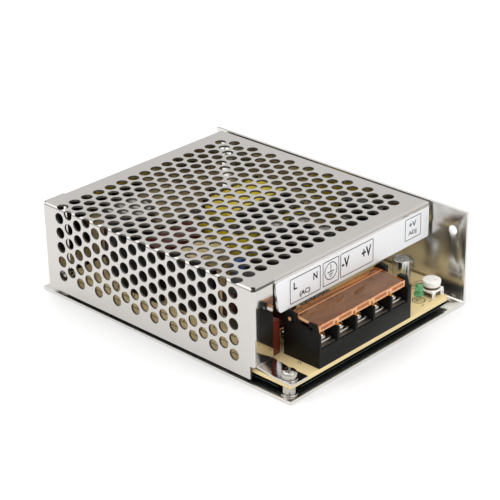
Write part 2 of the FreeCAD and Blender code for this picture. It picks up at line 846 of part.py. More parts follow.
# Screws: pan heads with a cross recess, each over a spring washer and a flat washer
def cross_screw(name, x, y, seat):
    """One upright screw whose head stands on a level."""
    head = peg(f"{name}_head", "screw_head", "screw_head_height", (x, y, seat))
    shank = peg(f"{name}_shank", "screw_shank", "screw_length + screw_root", (x, y, f"{seat} - screw_length"))
    level = f"{seat} + screw_head_height - cross_depth"
    slots = [
        block(f"{name}_slot_x", ("cross_span", "cross_width", "cross_depth"),
              (f"{x} - cross_span/2", f"{y} - cross_width/2", level)),
        block(f"{name}_slot_y", ("cross_width", "cross_span", "cross_depth"),
              (f"{x} - cross_width/2", f"{y} - cross_span/2", level)),
    ]
    return without(name, joined(f"{name}_blank", [head, shank]), joined(f"{name}_cross", slots))


def ring(name, width, thickness, x, y, level):
    """A washer round a screw's shank."""
    outside = peg(f"{name}_out", width, thickness, (x, y, level))
    inside = peg(f"{name}_in", "screw_shank + 2*screw_clearance", thickness, (x, y, level))
    return without(name, outside, inside)


def make_board_fixings():
    screws, flats, springs = [], [], []
    for i, (x, y) in enumerate(STANDOFFS):
        level = BOARD_TOP + (" + cover_gauge" if i == 0 else "")
        flats.append(ring(f"flat_{i}", "flat_washer_width", "flat_washer_thickness", x, y, level))
        springs.append(ring(f"spring_{i}", "spring_washer_width", "spring_washer_thickness", x, y,
                            f"{level} + flat_washer_thickness"))
        seat = f"({level} + flat_washer_thickness + spring_washer_thickness)"
        screws.append(cross_screw(f"screw_{i}", x, y, seat))
    node(screws[0], "cover_screw")
    node(group("board_screws", screws[1:]), "board_screws")
    node(group("flat_washers", flats), "flat_washers")
    node(group("spring_washers", springs), "spring_washers")


# Terminal block: five open wells between partitions, with ears at both ends for the flip cover
def up(height):
    """A level above the board."""
    return f"{BOARD_TOP} + {height}"


def back(distance):
    """A place behind the block's front face."""
    return f"{BOARD_FRONT} + {distance}"


def way_centre(i):
    """The middle of one way of the block."""
    return f"({FIRST_PARTITION} + ({i} + 0.5)*way_pitch)"


def make_terminal_block():
    body = new_body("terminal_moulding")
    right = f"({FIRST_PARTITION} + ways*way_pitch - partition/2 + block_end_right)"
    base = sketch_on(body, "YZ_Plane", BLOCK_LEFT)
    add_outline(base, [
        (back(0), BOARD_TOP), (back("block_depth"), BOARD_TOP),
        (back("block_depth"), up("block_back_height")),
        (back("block_depth - block_back_depth"), up("block_back_height")),
        (back("block_depth - block_back_depth"), up("well_floor")), (back(0), up("well_floor")),
    ])
    pad(body, base, f"{right} - {BLOCK_LEFT}")
    for i in range(1, len(WAYS)):
        wall = sketch_on(body, "YZ_Plane", f"{FIRST_PARTITION} + {i}*way_pitch - partition/2")
        root = up("well_floor - partition_root")
        add_outline(wall, [
            (back(0), root), (back("partition_depth"), root),
            (back("partition_depth"), up("partition_height")), (back(0), up("partition_height")),
        ])
        pad(body, wall, "partition")
    ends = ((BLOCK_LEFT, "block_end_left"), (f"{right} - block_end_right", "block_end_right"))
    for start, width in ends:
        end = sketch_on(body, "YZ_Plane", start)
        front_ear, rear_ear = "ear_front_in + ear_front_depth", "block_depth - ear_rear_in - ear_rear_depth"
        add_outline(end, [
            (back(0), up("ear_foot")), (back("block_depth"), up("ear_foot")),
            (back("block_depth"), up("block_back_height")),
            (back("block_depth - ear_rear_in"), up("block_back_height")),
            (back("block_depth - ear_rear_in"), up("ear_rear_height - ear_chamfer")),
            (back("block_depth - ear_rear_in - ear_chamfer"), up("ear_rear_height")),
            (back(rear_ear), up("ear_rear_height - ear_slant")), (back(rear_ear), up("ear_land_height")),
            (back(front_ear), up("ear_land_height")), (back(front_ear), up("ear_front_height")),
            (back("ear_front_in + ear_slant"), up("ear_front_height")),
            (back("ear_front_in"), up("partition_height + ear_slant")), (back(0), up("partition_height")),
        ])
        pad(body, end, width)
    pivots = sketch_on(body, "YZ_Plane", f"{BLOCK_LEFT} - cut_overlap")
    add_circle(pivots, back("pivot_y"), up("pivot_height"), "pivot_pin/2 + pivot_clearance")
    pocket(body, pivots, f"{right} - {BLOCK_LEFT} + 2*cut_overlap", plus=True)
    cuts = [
        peg(f"well_{i}", "clamp_screw_bore", "clamp_screw_well",
            (way_centre(i), back("clamp_y"), up("well_floor - clamp_screw_well"))) for i in WAYS
    ]
    for i, (start, width) in enumerate(ends):
        mouth = (start, back("latch_y"), up("latch_height"))
        cuts.append(bar_along_x(f"latch_hole_{i}", "latch_hole", width, mouth))
    return node(without("terminal_block", body, group("block_cuts", cuts)), "terminal_block")


def make_terminal_contacts():
    strips = []
    for i in WAYS:
        strip = block(f"contact_strip_{i}", ("contact_width", "contact_depth", "contact_thickness"),
                      (f"{way_centre(i)} - contact_width/2", back("contact_front"), up("well_floor")))
        bore = peg(f"contact_bore_{i}", "clamp_screw_bore", "contact_thickness",
                   (way_centre(i), back("clamp_y"), up("well_floor")))
        strips.append(without(f"contact_{i}", strip, bore))
    return node(group("terminal_contacts", strips), "terminal_contacts")


def make_clamps():
    plate_level = up("well_floor + contact_thickness")
    head_level = up("well_floor + contact_thickness + clamp_thickness")
    for i in WAYS:
        x, y = way_centre(i), back("clamp_y")
        square = centred(f"clamp_square_{i}", "clamp_width", "clamp_width", "clamp_thickness",
                         x, y, plate_level)
        bore = peg(f"clamp_bore_{i}", "clamp_plate_bore", "clamp_thickness", (x, y, plate_level))
        node(without(f"clamp_plate_{i + 1}", square, bore), f"clamp_plate_{i + 1}")
        head = peg(f"clamp_head_{i}", "clamp_screw_head", "clamp_screw_height", (x, y, head_level))
        shank = peg(f"clamp_shank_{i}", "clamp_screw_shank", "clamp_screw_length + screw_root",
                    (x, y, f"{head_level} - clamp_screw_length"))
        slot = centred(f"clamp_slot_{i}", "clamp_slot_width", "clamp_screw_head", "clamp_slot_depth", x, y,
                       f"{head_level} + clamp_screw_height - clamp_slot_depth")
        node(without(f"terminal_screw_{i + 1}", joined(f"clamp_blank_{i}", [head, shank]), slot),
             f"terminal_screw_{i + 1}")


# Flip cover over the terminals: a thin plate with a segmented front lip, two lugs and two pivot pins
def make_terminal_cover():
    body = new_body("terminal_cover")
    right = f"({FIRST_PARTITION} + ways*way_pitch - partition/2 + block_end_right)"
    left_edge = f"({BLOCK_LEFT} + block_end_left + lid_side_gap)"
    right_edge = f"({right} - block_end_right - lid_side_gap)"
    profile = sketch_on(body, "YZ_Plane", left_edge)
    add_outline(profile, [
        (back("lid_rear_y"), up("lid_top_rear")), (back("lid_rear_y"), up("lid_top_rear - lid_thickness")),
        (back("lid_front_y + lid_thickness"), up("lid_top_front - lid_thickness")),
        (back("lid_front_y + lid_thickness"), up("lid_top_front - lid_lip")),
        (back("lid_front_y"), up("lid_top_front - lid_lip")), (back("lid_front_y"), up("lid_top_front")),
    ])
    pad(body, profile, f"{right_edge} - {left_edge}")
    for level in (left_edge, f"({right_edge} - lid_lug)"):
        lug = sketch_on(body, "YZ_Plane", level)
        add_outline(lug, [
            (back("pivot_y - lid_lug_reach - lid_lug_lean"), up("lid_top_rear - lid_thickness/2")),
            (back("pivot_y + lid_lug_reach - lid_lug_lean"), up("lid_top_rear - lid_thickness/2")),
            (back("pivot_y + lid_lug_reach"), up("pivot_height")),
            (back("pivot_y + lid_lug_reach/2"), up("pivot_height - lid_lug_reach")),
            (back("pivot_y - lid_lug_reach/2"), up("pivot_height - lid_lug_reach")),
            (back("pivot_y - lid_lug_reach"), up("pivot_height")),
        ])
        pad(body, lug, "lid_lug")
    for level, plus in ((left_edge, False), (right_edge, True)):
        pin = sketch_on(body, "YZ_Plane", level)
        add_circle(pin, back("pivot_y"), up("pivot_height"), "pivot_pin/2")
        pad(body, pin, "lid_side_gap + block_end_left", plus)
    slots = sketch_on(body, "XZ_Plane", back("lid_front_y - cut_overlap"))
    for i in range(1, len(WAYS)):
        centre = f"{FIRST_PARTITION} + {i}*way_pitch"
        low, high = up("lid_top_front - lid_lip - cut_overlap"), up("lid_top_front - lid_thickness")
        add_outline(slots, [
            (f"{centre} - lid_slot/2", low), (f"{centre} + lid_slot/2", low),
            (f"{centre} + lid_slot/2", high), (f"{centre} - lid_slot/2", high),
        ])
    pocket(body, slots, "lid_thickness + 2*cut_overlap", plus=True)
    return node(body, "terminal_cover")


# Status light: round body with a rim and a dome, on two legs
def make_status_light():
    x, y = from_right("light_in"), from_front("light_back")
    straight = "(light_height - light_bore/2)"
    rim = peg("light_rim_ring", "light_rim", "light_rim_height", (x, y, up("light_base")), MORE_SIDES)
    body = peg("light_body", "light_bore", straight, (x, y, up("light_base")), MORE_SIDES)
    rounds = []
    for angle in (0, 30, 60, 80):
        slice_of_dome = doc.addObject("Part::RegularPolygon", f"light_dome_{angle}")
        slice_of_dome.Polygon = MORE_SIDES
        bind(slice_of_dome, "Circumradius", f"light_bore/2*cos({angle}deg)")
        level = up(f"light_base + {straight} + light_bore/2*sin({angle}deg)")
        rounds.append(place(slice_of_dome, x, y, level))
    dome = doc.addObject("Part::Loft", "light_dome")
    dome.Sections = rounds
    dome.Solid = True
    dome.Ruled = True
    node(joined("status_light", [rim, body, dome]), "status_light")
    legs = [
        centred(f"light_leg_{i}", "light_leg", "light_leg", "light_base",
                f"{x} + ({i} - 0.5)*light_leg_pitch", y, BOARD_TOP) for i in range(2)
    ]
    node(group("status_light_legs", legs), "status_light_legs")


# Output trimmer: square frame on feet, resistive wafer and slotted disc on a hub
def make_trimmer():
    x, y = from_right("trimmer_in"), from_front("trimmer_back")
    side = "trimmer_frame"
    pieces = [centred("trimmer_plate", side, side, "trimmer_frame_height", x, y, up("trimmer_rise"))]
    for i, (sx, sy) in enumerate(((-1, -1), (1, -1), (0, 1))):
        foot_x = f"{x} + {sx}*({side} - trimmer_foot)/2"
        foot_y = f"{y} + {sy}*({side} - trimmer_foot)/2"
        pieces.append(centred(f"trimmer_foot_{i}", "trimmer_foot", "trimmer_foot", "trimmer_rise + leg_sink",
                              foot_x, foot_y, BOARD_TOP))
    node(joined("trimmer_base", pieces), "trimmer_base")
    wafer_level = up("trimmer_rise + trimmer_frame_height")
    wafer = peg("trimmer_wafer_round", "trimmer_wafer", "trimmer_wafer_height", (x, y, wafer_level),
                MORE_SIDES)
    hub_hole = rod("trimmer_hub_hole", "trimmer_hub/2 + trimmer_clearance", "trimmer_wafer_height",
                   (x, y, wafer_level))
    node(without("trimmer_track", wafer, hub_hole), "trimmer_track")
    disc_level = up("trimmer_rise + trimmer_frame_height + trimmer_wafer_height + trimmer_clearance")
    disc = peg("trimmer_top", "trimmer_bore", "trimmer_disc_height", (x, y, disc_level), MORE_SIDES)
    hub = rod("trimmer_pin", "trimmer_hub/2", "trimmer_wafer_height",
              (x, y, f"{disc_level} - trimmer_wafer_height"))
    slot_level = f"{disc_level} + trimmer_disc_height - trimmer_slot_depth"
    slots = [
        centred(f"trimmer_slot_{i}", width, depth, "trimmer_slot_depth", x, y, slot_level)
        for i, (width, depth) in enumerate((("trimmer_slot_span", "trimmer_slot"),
                                            ("trimmer_slot", "trimmer_slot_span")))
    ]
    node(without("trimmer_disc", joined("trimmer_disc_blank", [disc, hub]), joined("trimmer_cross", slots)),
         "trimmer_disc")


# Transformer: a ferrite frame with a centre leg along Y, a bobbin round the leg, a taped winding on
# the bobbin, and a band of tape that holds the two halves of the frame together
def make_transformer():
    level = up("core_level")
    span = "(core_depth - 2*core_yoke)"
    window = "(core_width/2 - core_leg - core_centre/2)"
    frame = centred("core_block", "core_width", "core_depth", "core_height", CORE_X, CORE_Y, level)
    windows = [
        centred(f"core_window_{i}", window, span, "core_height",
                f"{CORE_X} + {side}*(core_centre + {window})/2", CORE_Y, level)
        for i, side in enumerate((-1, 1))
    ]
    node(without("transformer_core", frame, joined("core_windows", windows)), "transformer_core")
    tape_level = f"{level} + (core_height - core_tape_height)/2"
    band = centred("tape_outside", "core_width + 2*core_tape", "core_depth + 2*core_tape",
                   "core_tape_height", CORE_X, CORE_Y, tape_level)
    inside = centred("tape_inside", "core_width", "core_depth", "core_tape_height",
                     CORE_X, CORE_Y, tape_level)
    node(without("core_tape", band, inside), "core_tape")
    tube = "(core_centre + 2*bobbin_gap + 2*bobbin_wall)"
    tube_high = "(core_height + 2*bobbin_gap + 2*bobbin_wall)"
    length = f"({span} - 2*bobbin_gap)"
    width = "(core_width - 2*core_leg - 2*bobbin_gap)"
    tube_level = f"{level} - bobbin_gap - bobbin_wall"
    pieces = [centred("bobbin_tube", tube, length, tube_high, CORE_X, CORE_Y, tube_level)]
    for i, side in enumerate((-1, 1)):
        pieces.append(centred(f"bobbin_end_{i}", width, "bobbin_wall", "bobbin_height", CORE_X,
                              f"{CORE_Y} + {side}*({length} - bobbin_wall)/2", up("bobbin_level")))
        pieces.append(centred(f"bobbin_rail_{i}", width, "core_yoke + bobbin_wall", "bobbin_rail_height",
                              CORE_X, f"{CORE_Y} + {side}*({length} + core_yoke - bobbin_wall)/2", BOARD_TOP))
    hollow = centred("bobbin_hollow", "core_centre + 2*bobbin_gap", f"{length} + bobbin_wall",
                     "core_height + 2*bobbin_gap", CORE_X, CORE_Y, f"{level} - bobbin_gap")
    node(without("transformer_bobbin", joined("bobbin_blank", pieces), hollow), "transformer_bobbin")
    body = new_body("winding_body")
    profile = sketch_on(body, "XZ_Plane", f"{CORE_Y} - {length}/2 + bobbin_wall + winding_gap")
    half = f"({width}/2 - winding_gap)"
    low, high = up("winding_level"), up("winding_level + winding_height")
    add_outline(profile, [
        (f"{CORE_X} - {half} + winding_corner", low), (f"{CORE_X} + {half} - winding_corner", low),
        (f"{CORE_X} + {half}", f"{low} + winding_corner"), (f"{CORE_X} + {half}", f"{high} - winding_corner"),
        (f"{CORE_X} + {half} - winding_corner", high), (f"{CORE_X} - {half} + winding_corner", high),
        (f"{CORE_X} - {half}", f"{high} - winding_corner"), (f"{CORE_X} - {half}", f"{low} + winding_corner"),
    ])
    pad(body, profile, f"{length} - 2*bobbin_wall - 2*winding_gap")
    core_hole = centred("winding_hollow", f"{tube} + 2*winding_gap", length,
                        f"{tube_high} + 2*winding_gap", CORE_X, CORE_Y, f"{tube_level} - winding_gap")
    node(without("transformer_winding", body, core_hole), "transformer_winding")


# Round capacitors
def can(label, width, height, x, y):
    """One upright can on the board."""
    return peg(label, width, height, (x, y, BOARD_TOP), MORE_SIDES)


def make_cans():
    node(can("bulk_capacitor", "bulk_bore", "bulk_height", from_left("bulk_in"), from_rear("bulk_ahead")),
         "bulk_capacitor")
    places = [
        (f"{CORE_X} - first_can_left", f"{CORE_Y} - first_can_ahead"),
        (f"{CORE_X} + second_can_right", f"{CORE_Y} - second_can_ahead"),
        (f"{CORE_X} + third_can_right", f"{CORE_Y} - third_can_ahead"),
    ]
    cans = [
        can(f"output_can_{i}", "output_can", "output_can_height", x, y) for i, (x, y) in enumerate(places)
    ]
    node(group("output_capacitors", cans), "output_capacitors")
    node(can("start_capacitor", "start_can", "start_can_height", f"{CORE_X} - start_can_left",
             f"{CORE_Y} - start_can_ahead"), "start_capacitor")
    node(can("small_capacitor", "small_can", "small_can_height", from_right("small_can_in"),
             from_front("small_can_back")), "small_capacitor")


# Parts of the mains side, most of them along the case's left edge
def box_node(label, prefix, x, y):
    """A box-shaped part by the three sizes that share its prefix."""
    box = centred(label, f"{prefix}_width", f"{prefix}_depth", f"{prefix}_height", x, y, BOARD_TOP)
    return node(box, label)


def box_beside_core(label, prefix):
    """A box-shaped part that reaches from a place near the left edge to the transformer."""
    start = from_left(f"{prefix}_in")
    width = f"({CORE_LEFT} - {prefix}_gap - {start})"
    return node(centred(label, width, f"{prefix}_depth", f"{prefix}_height", f"{start} + {width}/2",
                        from_rear(f"{prefix}_ahead"), BOARD_TOP), label)


def make_mains_parts():
    box_beside_core("film_capacitor", "film_part")
    box_beside_core("filter_capacitor", "filter")
    box_node("input_capacitor", "input_part", from_left("input_part_in"), from_front("input_part_back"))
    box_node("bridge_rectifier", "bridge", from_left("bridge_in"), from_rear("bridge_ahead"))
    x, y = from_left("choke_in"), from_front("choke_back")
    frame = centred("choke_frame", "choke_width", "choke_depth", "choke_height", x, y, BOARD_TOP)
    window = centred("choke_window", "choke_width", "choke_depth - 2*choke_core",
                     "choke_height - 2*choke_core", x, y, up("choke_core"))
    node(without("input_choke_core", frame, window), "input_choke_core")
    coils = []
    for i, side in enumerate((-1, 1)):
        middle = f"({y} + {side}*(choke_depth - choke_core)/2)"
        hole_width, hole_depth = "choke_width + 2*coil_gap", "choke_core + 2*coil_gap"
        coil = centred(f"choke_coil_{i}", f"{hole_width} + 2*coil_thickness",
                       f"{hole_depth} + 2*coil_thickness", "choke_height - 2*choke_core - 4*coil_gap",
                       x, middle, up("choke_core + 2*coil_gap"))
        hole = centred(f"choke_coil_hole_{i}", hole_width, hole_depth, "choke_height", x, middle, BOARD_TOP)
        coils.append(without(f"choke_winding_{i}", coil, hole))
    node(group("input_choke_winding", coils), "input_choke_winding")


# Fuse: a glass tube held by its two clips
def make_fuse():
    x, y = from_left("fuse_in"), from_front("fuse_back")
    glass = bar_along_x("fuse_glass", "fuse_bore - 2*fuse_glass_inset", "fuse_length - 2*fuse_cap",
                        (f"{x} - fuse_length/2 + fuse_cap", y, up("fuse_bore/2 + fuse_rise")), MORE_SIDES)
    node(glass, "fuse_tube")
    clips = [
        centred(f"fuse_clip_{i}", "fuse_cap", "fuse_bore + 2*fuse_clip_wall",
                "fuse_bore + fuse_rise + 2*fuse_clip_wall",
                f"{x} + {side}*(fuse_length - fuse_cap)/2", y, BOARD_TOP)
        for i, side in enumerate((-1, 1))
    ]
    node(group("fuse_clips", clips), "fuse_clips")


# Power transistor: clipped to a black plate that stands along the left edge and cools it
def make_transistor():
    x = from_left("sink_in")
    start, length = from_front("sink_back"), "(case_length - sink_back - sink_ahead)"
    plate = block("heat_sink", ("sink_plate", length, "sink_height"),
                  (f"{x} - sink_plate/2", start, BOARD_TOP))
    node(plate, "transistor_heat_sink")
    middle = f"{x} + (sink_plate + transistor_depth)/2"
    case = centred("transistor_case", "transistor_depth", "transistor_width", "transistor_height", middle,
                   f"{start} + {length}/2", up("transistor_level"))
    legs = centred("transistor_legs", "leg_band_thickness", "leg_band_width",
                   "transistor_level + leg_sink", middle, f"{start} + {length}/2", BOARD_TOP)
    node(joined("power_transistor", [case, legs]), "power_transistor")


# Parts of the output side: a rectifier pressed against the wall by a bar, and a ring choke
def make_output_parts():
    inner, y = f"({WALL} - wall_pad)", from_rear("rectifier_ahead")
    level = up("rectifier_level")
    sheet_width = "(rectifier_width + 2*wall_pad_margin)"
    node(block("wall_pad_sheet", ("wall_pad", sheet_width, "wall_pad_height"),
               (inner, f"{y} - {sheet_width}/2", level)), "heat_pad")
    case = block("rectifier_case", ("rectifier_depth", "rectifier_width", "rectifier_height"),
                 (f"{inner} - rectifier_depth", f"{y} - rectifier_width/2", level))
    legs = centred("rectifier_legs", "leg_band_thickness", "rectifier_leg_band", "rectifier_level + leg_sink",
                   f"{inner} - rectifier_depth/2", y, BOARD_TOP)
    node(joined("output_rectifier", [case, legs]), "output_rectifier")
    corner = (f"{inner} - rectifier_depth - clamp_bar", f"{y} - clamp_bar_length/2", up("clamp_bar_level"))
    node(block("clamp_bar_block", ("clamp_bar", "clamp_bar_length", "clamp_bar_height"), corner),
         "rectifier_clamp")
    foot = (from_right("toroid_in"), from_rear("toroid_ahead"), BOARD_TOP)
    outside = peg("toroid_out", "toroid_width", "toroid_height", foot, MORE_SIDES)
    inside = peg("toroid_hole", "toroid_bore", "toroid_height", foot)
    node(without("output_choke", outside, inside), "output_choke")


# Small parts between the large ones
def make_small_parts():
    x, y = f"({CORE_X} - disc_left)", f"({CORE_Y} - disc_ahead)"
    disc = bar_along_y("disc_round", "disc_bore", "disc_depth",
                       (x, f"{y} - disc_depth/2", up("disc_rise + disc_bore/2")), MORE_SIDES)
    legs = [centred(f"disc_leg_{i}", "disc_leg", "disc_leg", "disc_rise + disc_bore/4",
                    f"{x} + ({i} - 0.5)*disc_leg_pitch", y, BOARD_TOP) for i in range(2)]
    node(joined("disc_capacitor", [disc, *legs]), "disc_capacitor")
    box_node("optocoupler", "opto", from_left("opto_in"), from_front("opto_back"))
    box_node("control_chip", "chip", from_left("chip_in"), from_front("chip_back"))
    bars = []
    for i in range(int(round(mm("resistors")))):
        foot = (from_left(f"resistor_in + {i}*resistor_pitch"), from_front("resistor_back"),
                up("resistor_bore/2"))
        bars.append(bar_along_y(f"resistor_{i}", "resistor_bore", "resistor_length", foot))
    node(group("power_resistors", bars), "power_resistors")


make_chassis()
make_mesh_cover()
make_label_strip()
make_circuit_board()
make_insulating_film()
make_standoffs()
make_board_fixings()
make_terminal_block()
make_terminal_contacts()
make_clamps()
make_terminal_cover()
make_status_light()
make_trimmer()
make_transformer()
make_cans()
make_mains_parts()
make_fuse()
make_transistor()
make_output_parts()
make_small_parts()


def check_and_write():
    """Refuses a failed object or a bad shape, then writes one file for each node."""
    doc.recompute()
    for thing in doc.Objects:
        if "Invalid" in thing.State or "Error" in thing.State:
            raise RuntimeError(f"{thing.Label} failed: {thing.State}")
    os.makedirs("parts", exist_ok=True)
    for thing in nodes:
        shape = thing.Shape
        if shape.isNull() or not shape.isValid():
            raise RuntimeError(f"{thing.Label} has no valid shape")
        shape.exportStep(f"parts/{thing.Label}.step")
        print(thing.Label, len(shape.Solids), round(shape.Volume, 1))


check_and_write()
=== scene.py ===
import math

import bmesh
import bpy
from mathutils import Matrix, Quaternion, Vector


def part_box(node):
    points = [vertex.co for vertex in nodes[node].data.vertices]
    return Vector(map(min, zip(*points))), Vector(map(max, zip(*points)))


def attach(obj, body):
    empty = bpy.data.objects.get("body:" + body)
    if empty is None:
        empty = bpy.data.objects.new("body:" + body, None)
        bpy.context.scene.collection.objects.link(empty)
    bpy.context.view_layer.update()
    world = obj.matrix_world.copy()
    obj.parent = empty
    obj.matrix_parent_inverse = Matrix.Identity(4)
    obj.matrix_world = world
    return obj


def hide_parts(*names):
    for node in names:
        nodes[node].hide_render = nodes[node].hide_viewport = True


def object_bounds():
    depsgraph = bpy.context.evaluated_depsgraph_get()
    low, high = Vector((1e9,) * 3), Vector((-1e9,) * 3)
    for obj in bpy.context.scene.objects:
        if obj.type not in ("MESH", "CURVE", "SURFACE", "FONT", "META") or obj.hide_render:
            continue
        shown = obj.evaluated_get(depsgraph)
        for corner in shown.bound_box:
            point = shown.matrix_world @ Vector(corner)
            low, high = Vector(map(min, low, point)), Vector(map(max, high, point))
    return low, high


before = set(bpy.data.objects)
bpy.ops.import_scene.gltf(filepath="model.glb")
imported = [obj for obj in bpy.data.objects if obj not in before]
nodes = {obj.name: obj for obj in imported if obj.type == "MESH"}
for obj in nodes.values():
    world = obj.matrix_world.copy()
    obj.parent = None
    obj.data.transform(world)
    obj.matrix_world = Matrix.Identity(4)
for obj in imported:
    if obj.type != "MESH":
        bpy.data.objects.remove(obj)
size_at_load = [list(corner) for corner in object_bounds()]
MM = 0.001
X, Y, Z = Vector((1, 0, 0)), Vector((0, 1, 0)), Vector((0, 0, 1))


# Studio: a long lens from the front left, a white table and a room that looks white to the camera.
# The room's light is a little weaker low down, and the bright sheet metal mirrors that.
EYE = Vector((-0.39477, -0.38096, 0.28800))
AZIMUTH, ELEVATION, ROLL = -45.995, 26.071, -1.121
FOCAL_LENGTH, SENSOR_WIDTH = 116.86, 36
TABLE_WHITE = 0.93


def make_camera():
    """The photograph's own viewpoint."""
    turn, rise = math.radians(AZIMUTH), math.radians(ELEVATION)
    back = Vector((math.sin(turn) * math.cos(rise), -math.cos(turn) * math.cos(rise), math.sin(rise)))
    data = bpy.data.cameras.new("camera")
    data.sensor_width = SENSOR_WIDTH
    data.lens = FOCAL_LENGTH
    data.clip_start, data.clip_end = 0.01, 20
    camera = bpy.data.objects.new("camera", data)
    camera.rotation_mode = "QUATERNION"
    camera.location = EYE
    camera.rotation_quaternion = (-back).to_track_quat("-Z", "Y") @ Quaternion(Z, math.radians(ROLL))
    bpy.context.scene.collection.objects.link(camera)
    bpy.context.scene.camera = camera


def make_room():
    """A room that the camera sees as white and that lights evenly, brightest overhead."""
    low_light, full_light_height = 0.55, 0.6
    world = bpy.data.worlds.new("room")
    world.use_nodes = True
    tree = world.node_tree
    tree.nodes.clear()
    add, link = tree.nodes.new, tree.links.new
    seen, lit, path = add("ShaderNodeBackground"), add("ShaderNodeBackground"), add("ShaderNodeLightPath")
    place, split, shade = add("ShaderNodeTexCoord"), add("ShaderNodeSeparateXYZ"), add("ShaderNodeValToRGB")
    mix, out = add("ShaderNodeMixShader"), add("ShaderNodeOutputWorld")
    dim, full = shade.color_ramp.elements
    dim.position, full.position = 0.0, full_light_height
    dim.color, full.color = (low_light, low_light, low_light, 1), (1, 1, 1, 1)
    seen.inputs["Color"].default_value = (1, 1, 1, 1)
    link(place.outputs["Generated"], split.inputs[0])
    link(split.outputs["Z"], shade.inputs["Fac"])
    link(shade.outputs["Color"], lit.inputs["Color"])
    link(path.outputs["Is Camera Ray"], mix.inputs["Fac"])
    link(lit.outputs[0], mix.inputs[1])
    link(seen.outputs[0], mix.inputs[2])
    link(mix.outputs[0], out.inputs["Surface"])
    bpy.context.scene.world = world


def make_lamp(name, place, target, width, power):
    """A square soft lamp that looks at a point."""
    data = bpy.data.lights.new(name, "AREA")
    data.size = width
    data.energy = power
    lamp = bpy.data.objects.new(name, data)
    lamp.location = place
    lamp.rotation_mode = "QUATERNION"
    lamp.rotation_quaternion = (Vector(target) - Vector(place)).to_track_quat("-Z", "Y")
    bpy.context.scene.collection.objects.link(lamp)


def make_table():
    """The white table that the case stands on."""
    mesh = bpy.data.meshes.new("table")
    far = 6.0
    mesh.from_pydata([(-far, -far, 0), (far, -far, 0), (far, far, 0), (-far, far, 0)], [], [(0, 1, 2, 3)])
    table = bpy.data.objects.new("table", mesh)
    table.location.z = size_at_load[0][2] - 0.02 * MM
    bpy.context.scene.collection.objects.link(table)
    paint = bpy.data.materials.new("table_white")
    paint.use_nodes = True
    shader = paint.node_tree.nodes["Principled BSDF"]
    shader.inputs["Base Color"].default_value = (TABLE_WHITE, TABLE_WHITE, TABLE_WHITE, 1)
    shader.inputs["Roughness"].default_value = 0.6
    shader.inputs["Specular IOR Level"].default_value = 0.2
    mesh.materials.append(paint)


make_camera()
make_room()
make_lamp("lamp_above", (-0.3, 0.35, 1.1), (0, 0, 0), 1.3, 5.5)
make_lamp("lamp_front", (0.1, -1.2, 0.9), (0, 0, 0), 1.1, 4.4)
make_table()
bpy.context.scene.view_settings.view_transform = "Standard"


# Shared effects, each one node group built once: the mill finish of sheet metal, whose grain runs
# along X, and the fine mottle of moulded and coated surfaces.
def new_group(name, inputs, outputs):
    """A node group with its sockets, and its own input and output nodes."""
    group = bpy.data.node_groups.new(name, "ShaderNodeTree")
    for way, sockets in (("INPUT", inputs), ("OUTPUT", outputs)):
        for label, kind in sockets:
            group.interface.new_socket(label, in_out=way, socket_type=f"NodeSocket{kind}")
    return group, group.nodes.new("NodeGroupInput"), group.nodes.new("NodeGroupOutput")


def mottle_group(name, stretch):
    """Colour, roughness and height that wander a little, over a grain stretched along one axis."""
    broad_share = 0.12
    group, given, made = new_group(
        name,
        (("Colour", "Color"), ("Other colour", "Color"), ("Amount", "Float"), ("Roughness", "Float"),
         ("Roughness spread", "Float"), ("Scale", "Float")),
        (("Colour", "Color"), ("Roughness", "Float"), ("Height", "Float")))
    add, link = group.nodes.new, group.links.new
    place, mapping = add("ShaderNodeTexCoord"), add("ShaderNodeMapping")
    mapping.inputs["Scale"].default_value = stretch
    fine, broad = add("ShaderNodeTexNoise"), add("ShaderNodeTexNoise")
    fine.inputs["Detail"].default_value = 6
    broad.inputs["Detail"].default_value = 3
    shrink, blend = add("ShaderNodeMath"), add("ShaderNodeMix")
    weigh, rough = add("ShaderNodeMath"), add("ShaderNodeMath")
    shrink.operation = "MULTIPLY"
    shrink.inputs[1].default_value = broad_share
    blend.data_type = "RGBA"
    weigh.operation = "MULTIPLY"
    rough.operation = "MULTIPLY_ADD"
    link(place.outputs["Object"], mapping.inputs["Vector"])
    link(mapping.outputs[0], fine.inputs["Vector"])
    link(place.outputs["Object"], broad.inputs["Vector"])
    link(given.outputs["Scale"], fine.inputs["Scale"])
    link(given.outputs["Scale"], shrink.inputs[0])
    link(shrink.outputs[0], broad.inputs["Scale"])
    link(broad.outputs["Fac"], weigh.inputs[0])
    link(given.outputs["Amount"], weigh.inputs[1])
    link(weigh.outputs[0], blend.inputs["Factor"])
    link(given.outputs["Colour"], blend.inputs["A"])
    link(given.outputs["Other colour"], blend.inputs["B"])
    link(fine.outputs["Fac"], rough.inputs[0])
    link(given.outputs["Roughness spread"], rough.inputs[1])
    link(given.outputs["Roughness"], rough.inputs[2])
    link(blend.outputs["Result"], made.inputs["Colour"])
    link(rough.outputs[0], made.inputs["Roughness"])
    link(fine.outputs["Fac"], made.inputs["Height"])
    return group


MILL_GRAIN = mottle_group("mill_grain", (1, 14, 14))
MOULD_GRAIN = mottle_group("mould_grain", (1, 1, 1))


def tone(red, green, blue):
    """A colour as a screen shows it, from 0 to 255, in the shaders' own units."""
    def linear(level):
        level = level / 255
        return level / 12.92 if level <= 0.04045 else ((level + 0.055) / 1.055) ** 2.4
    return linear(red), linear(green), linear(blue), 1


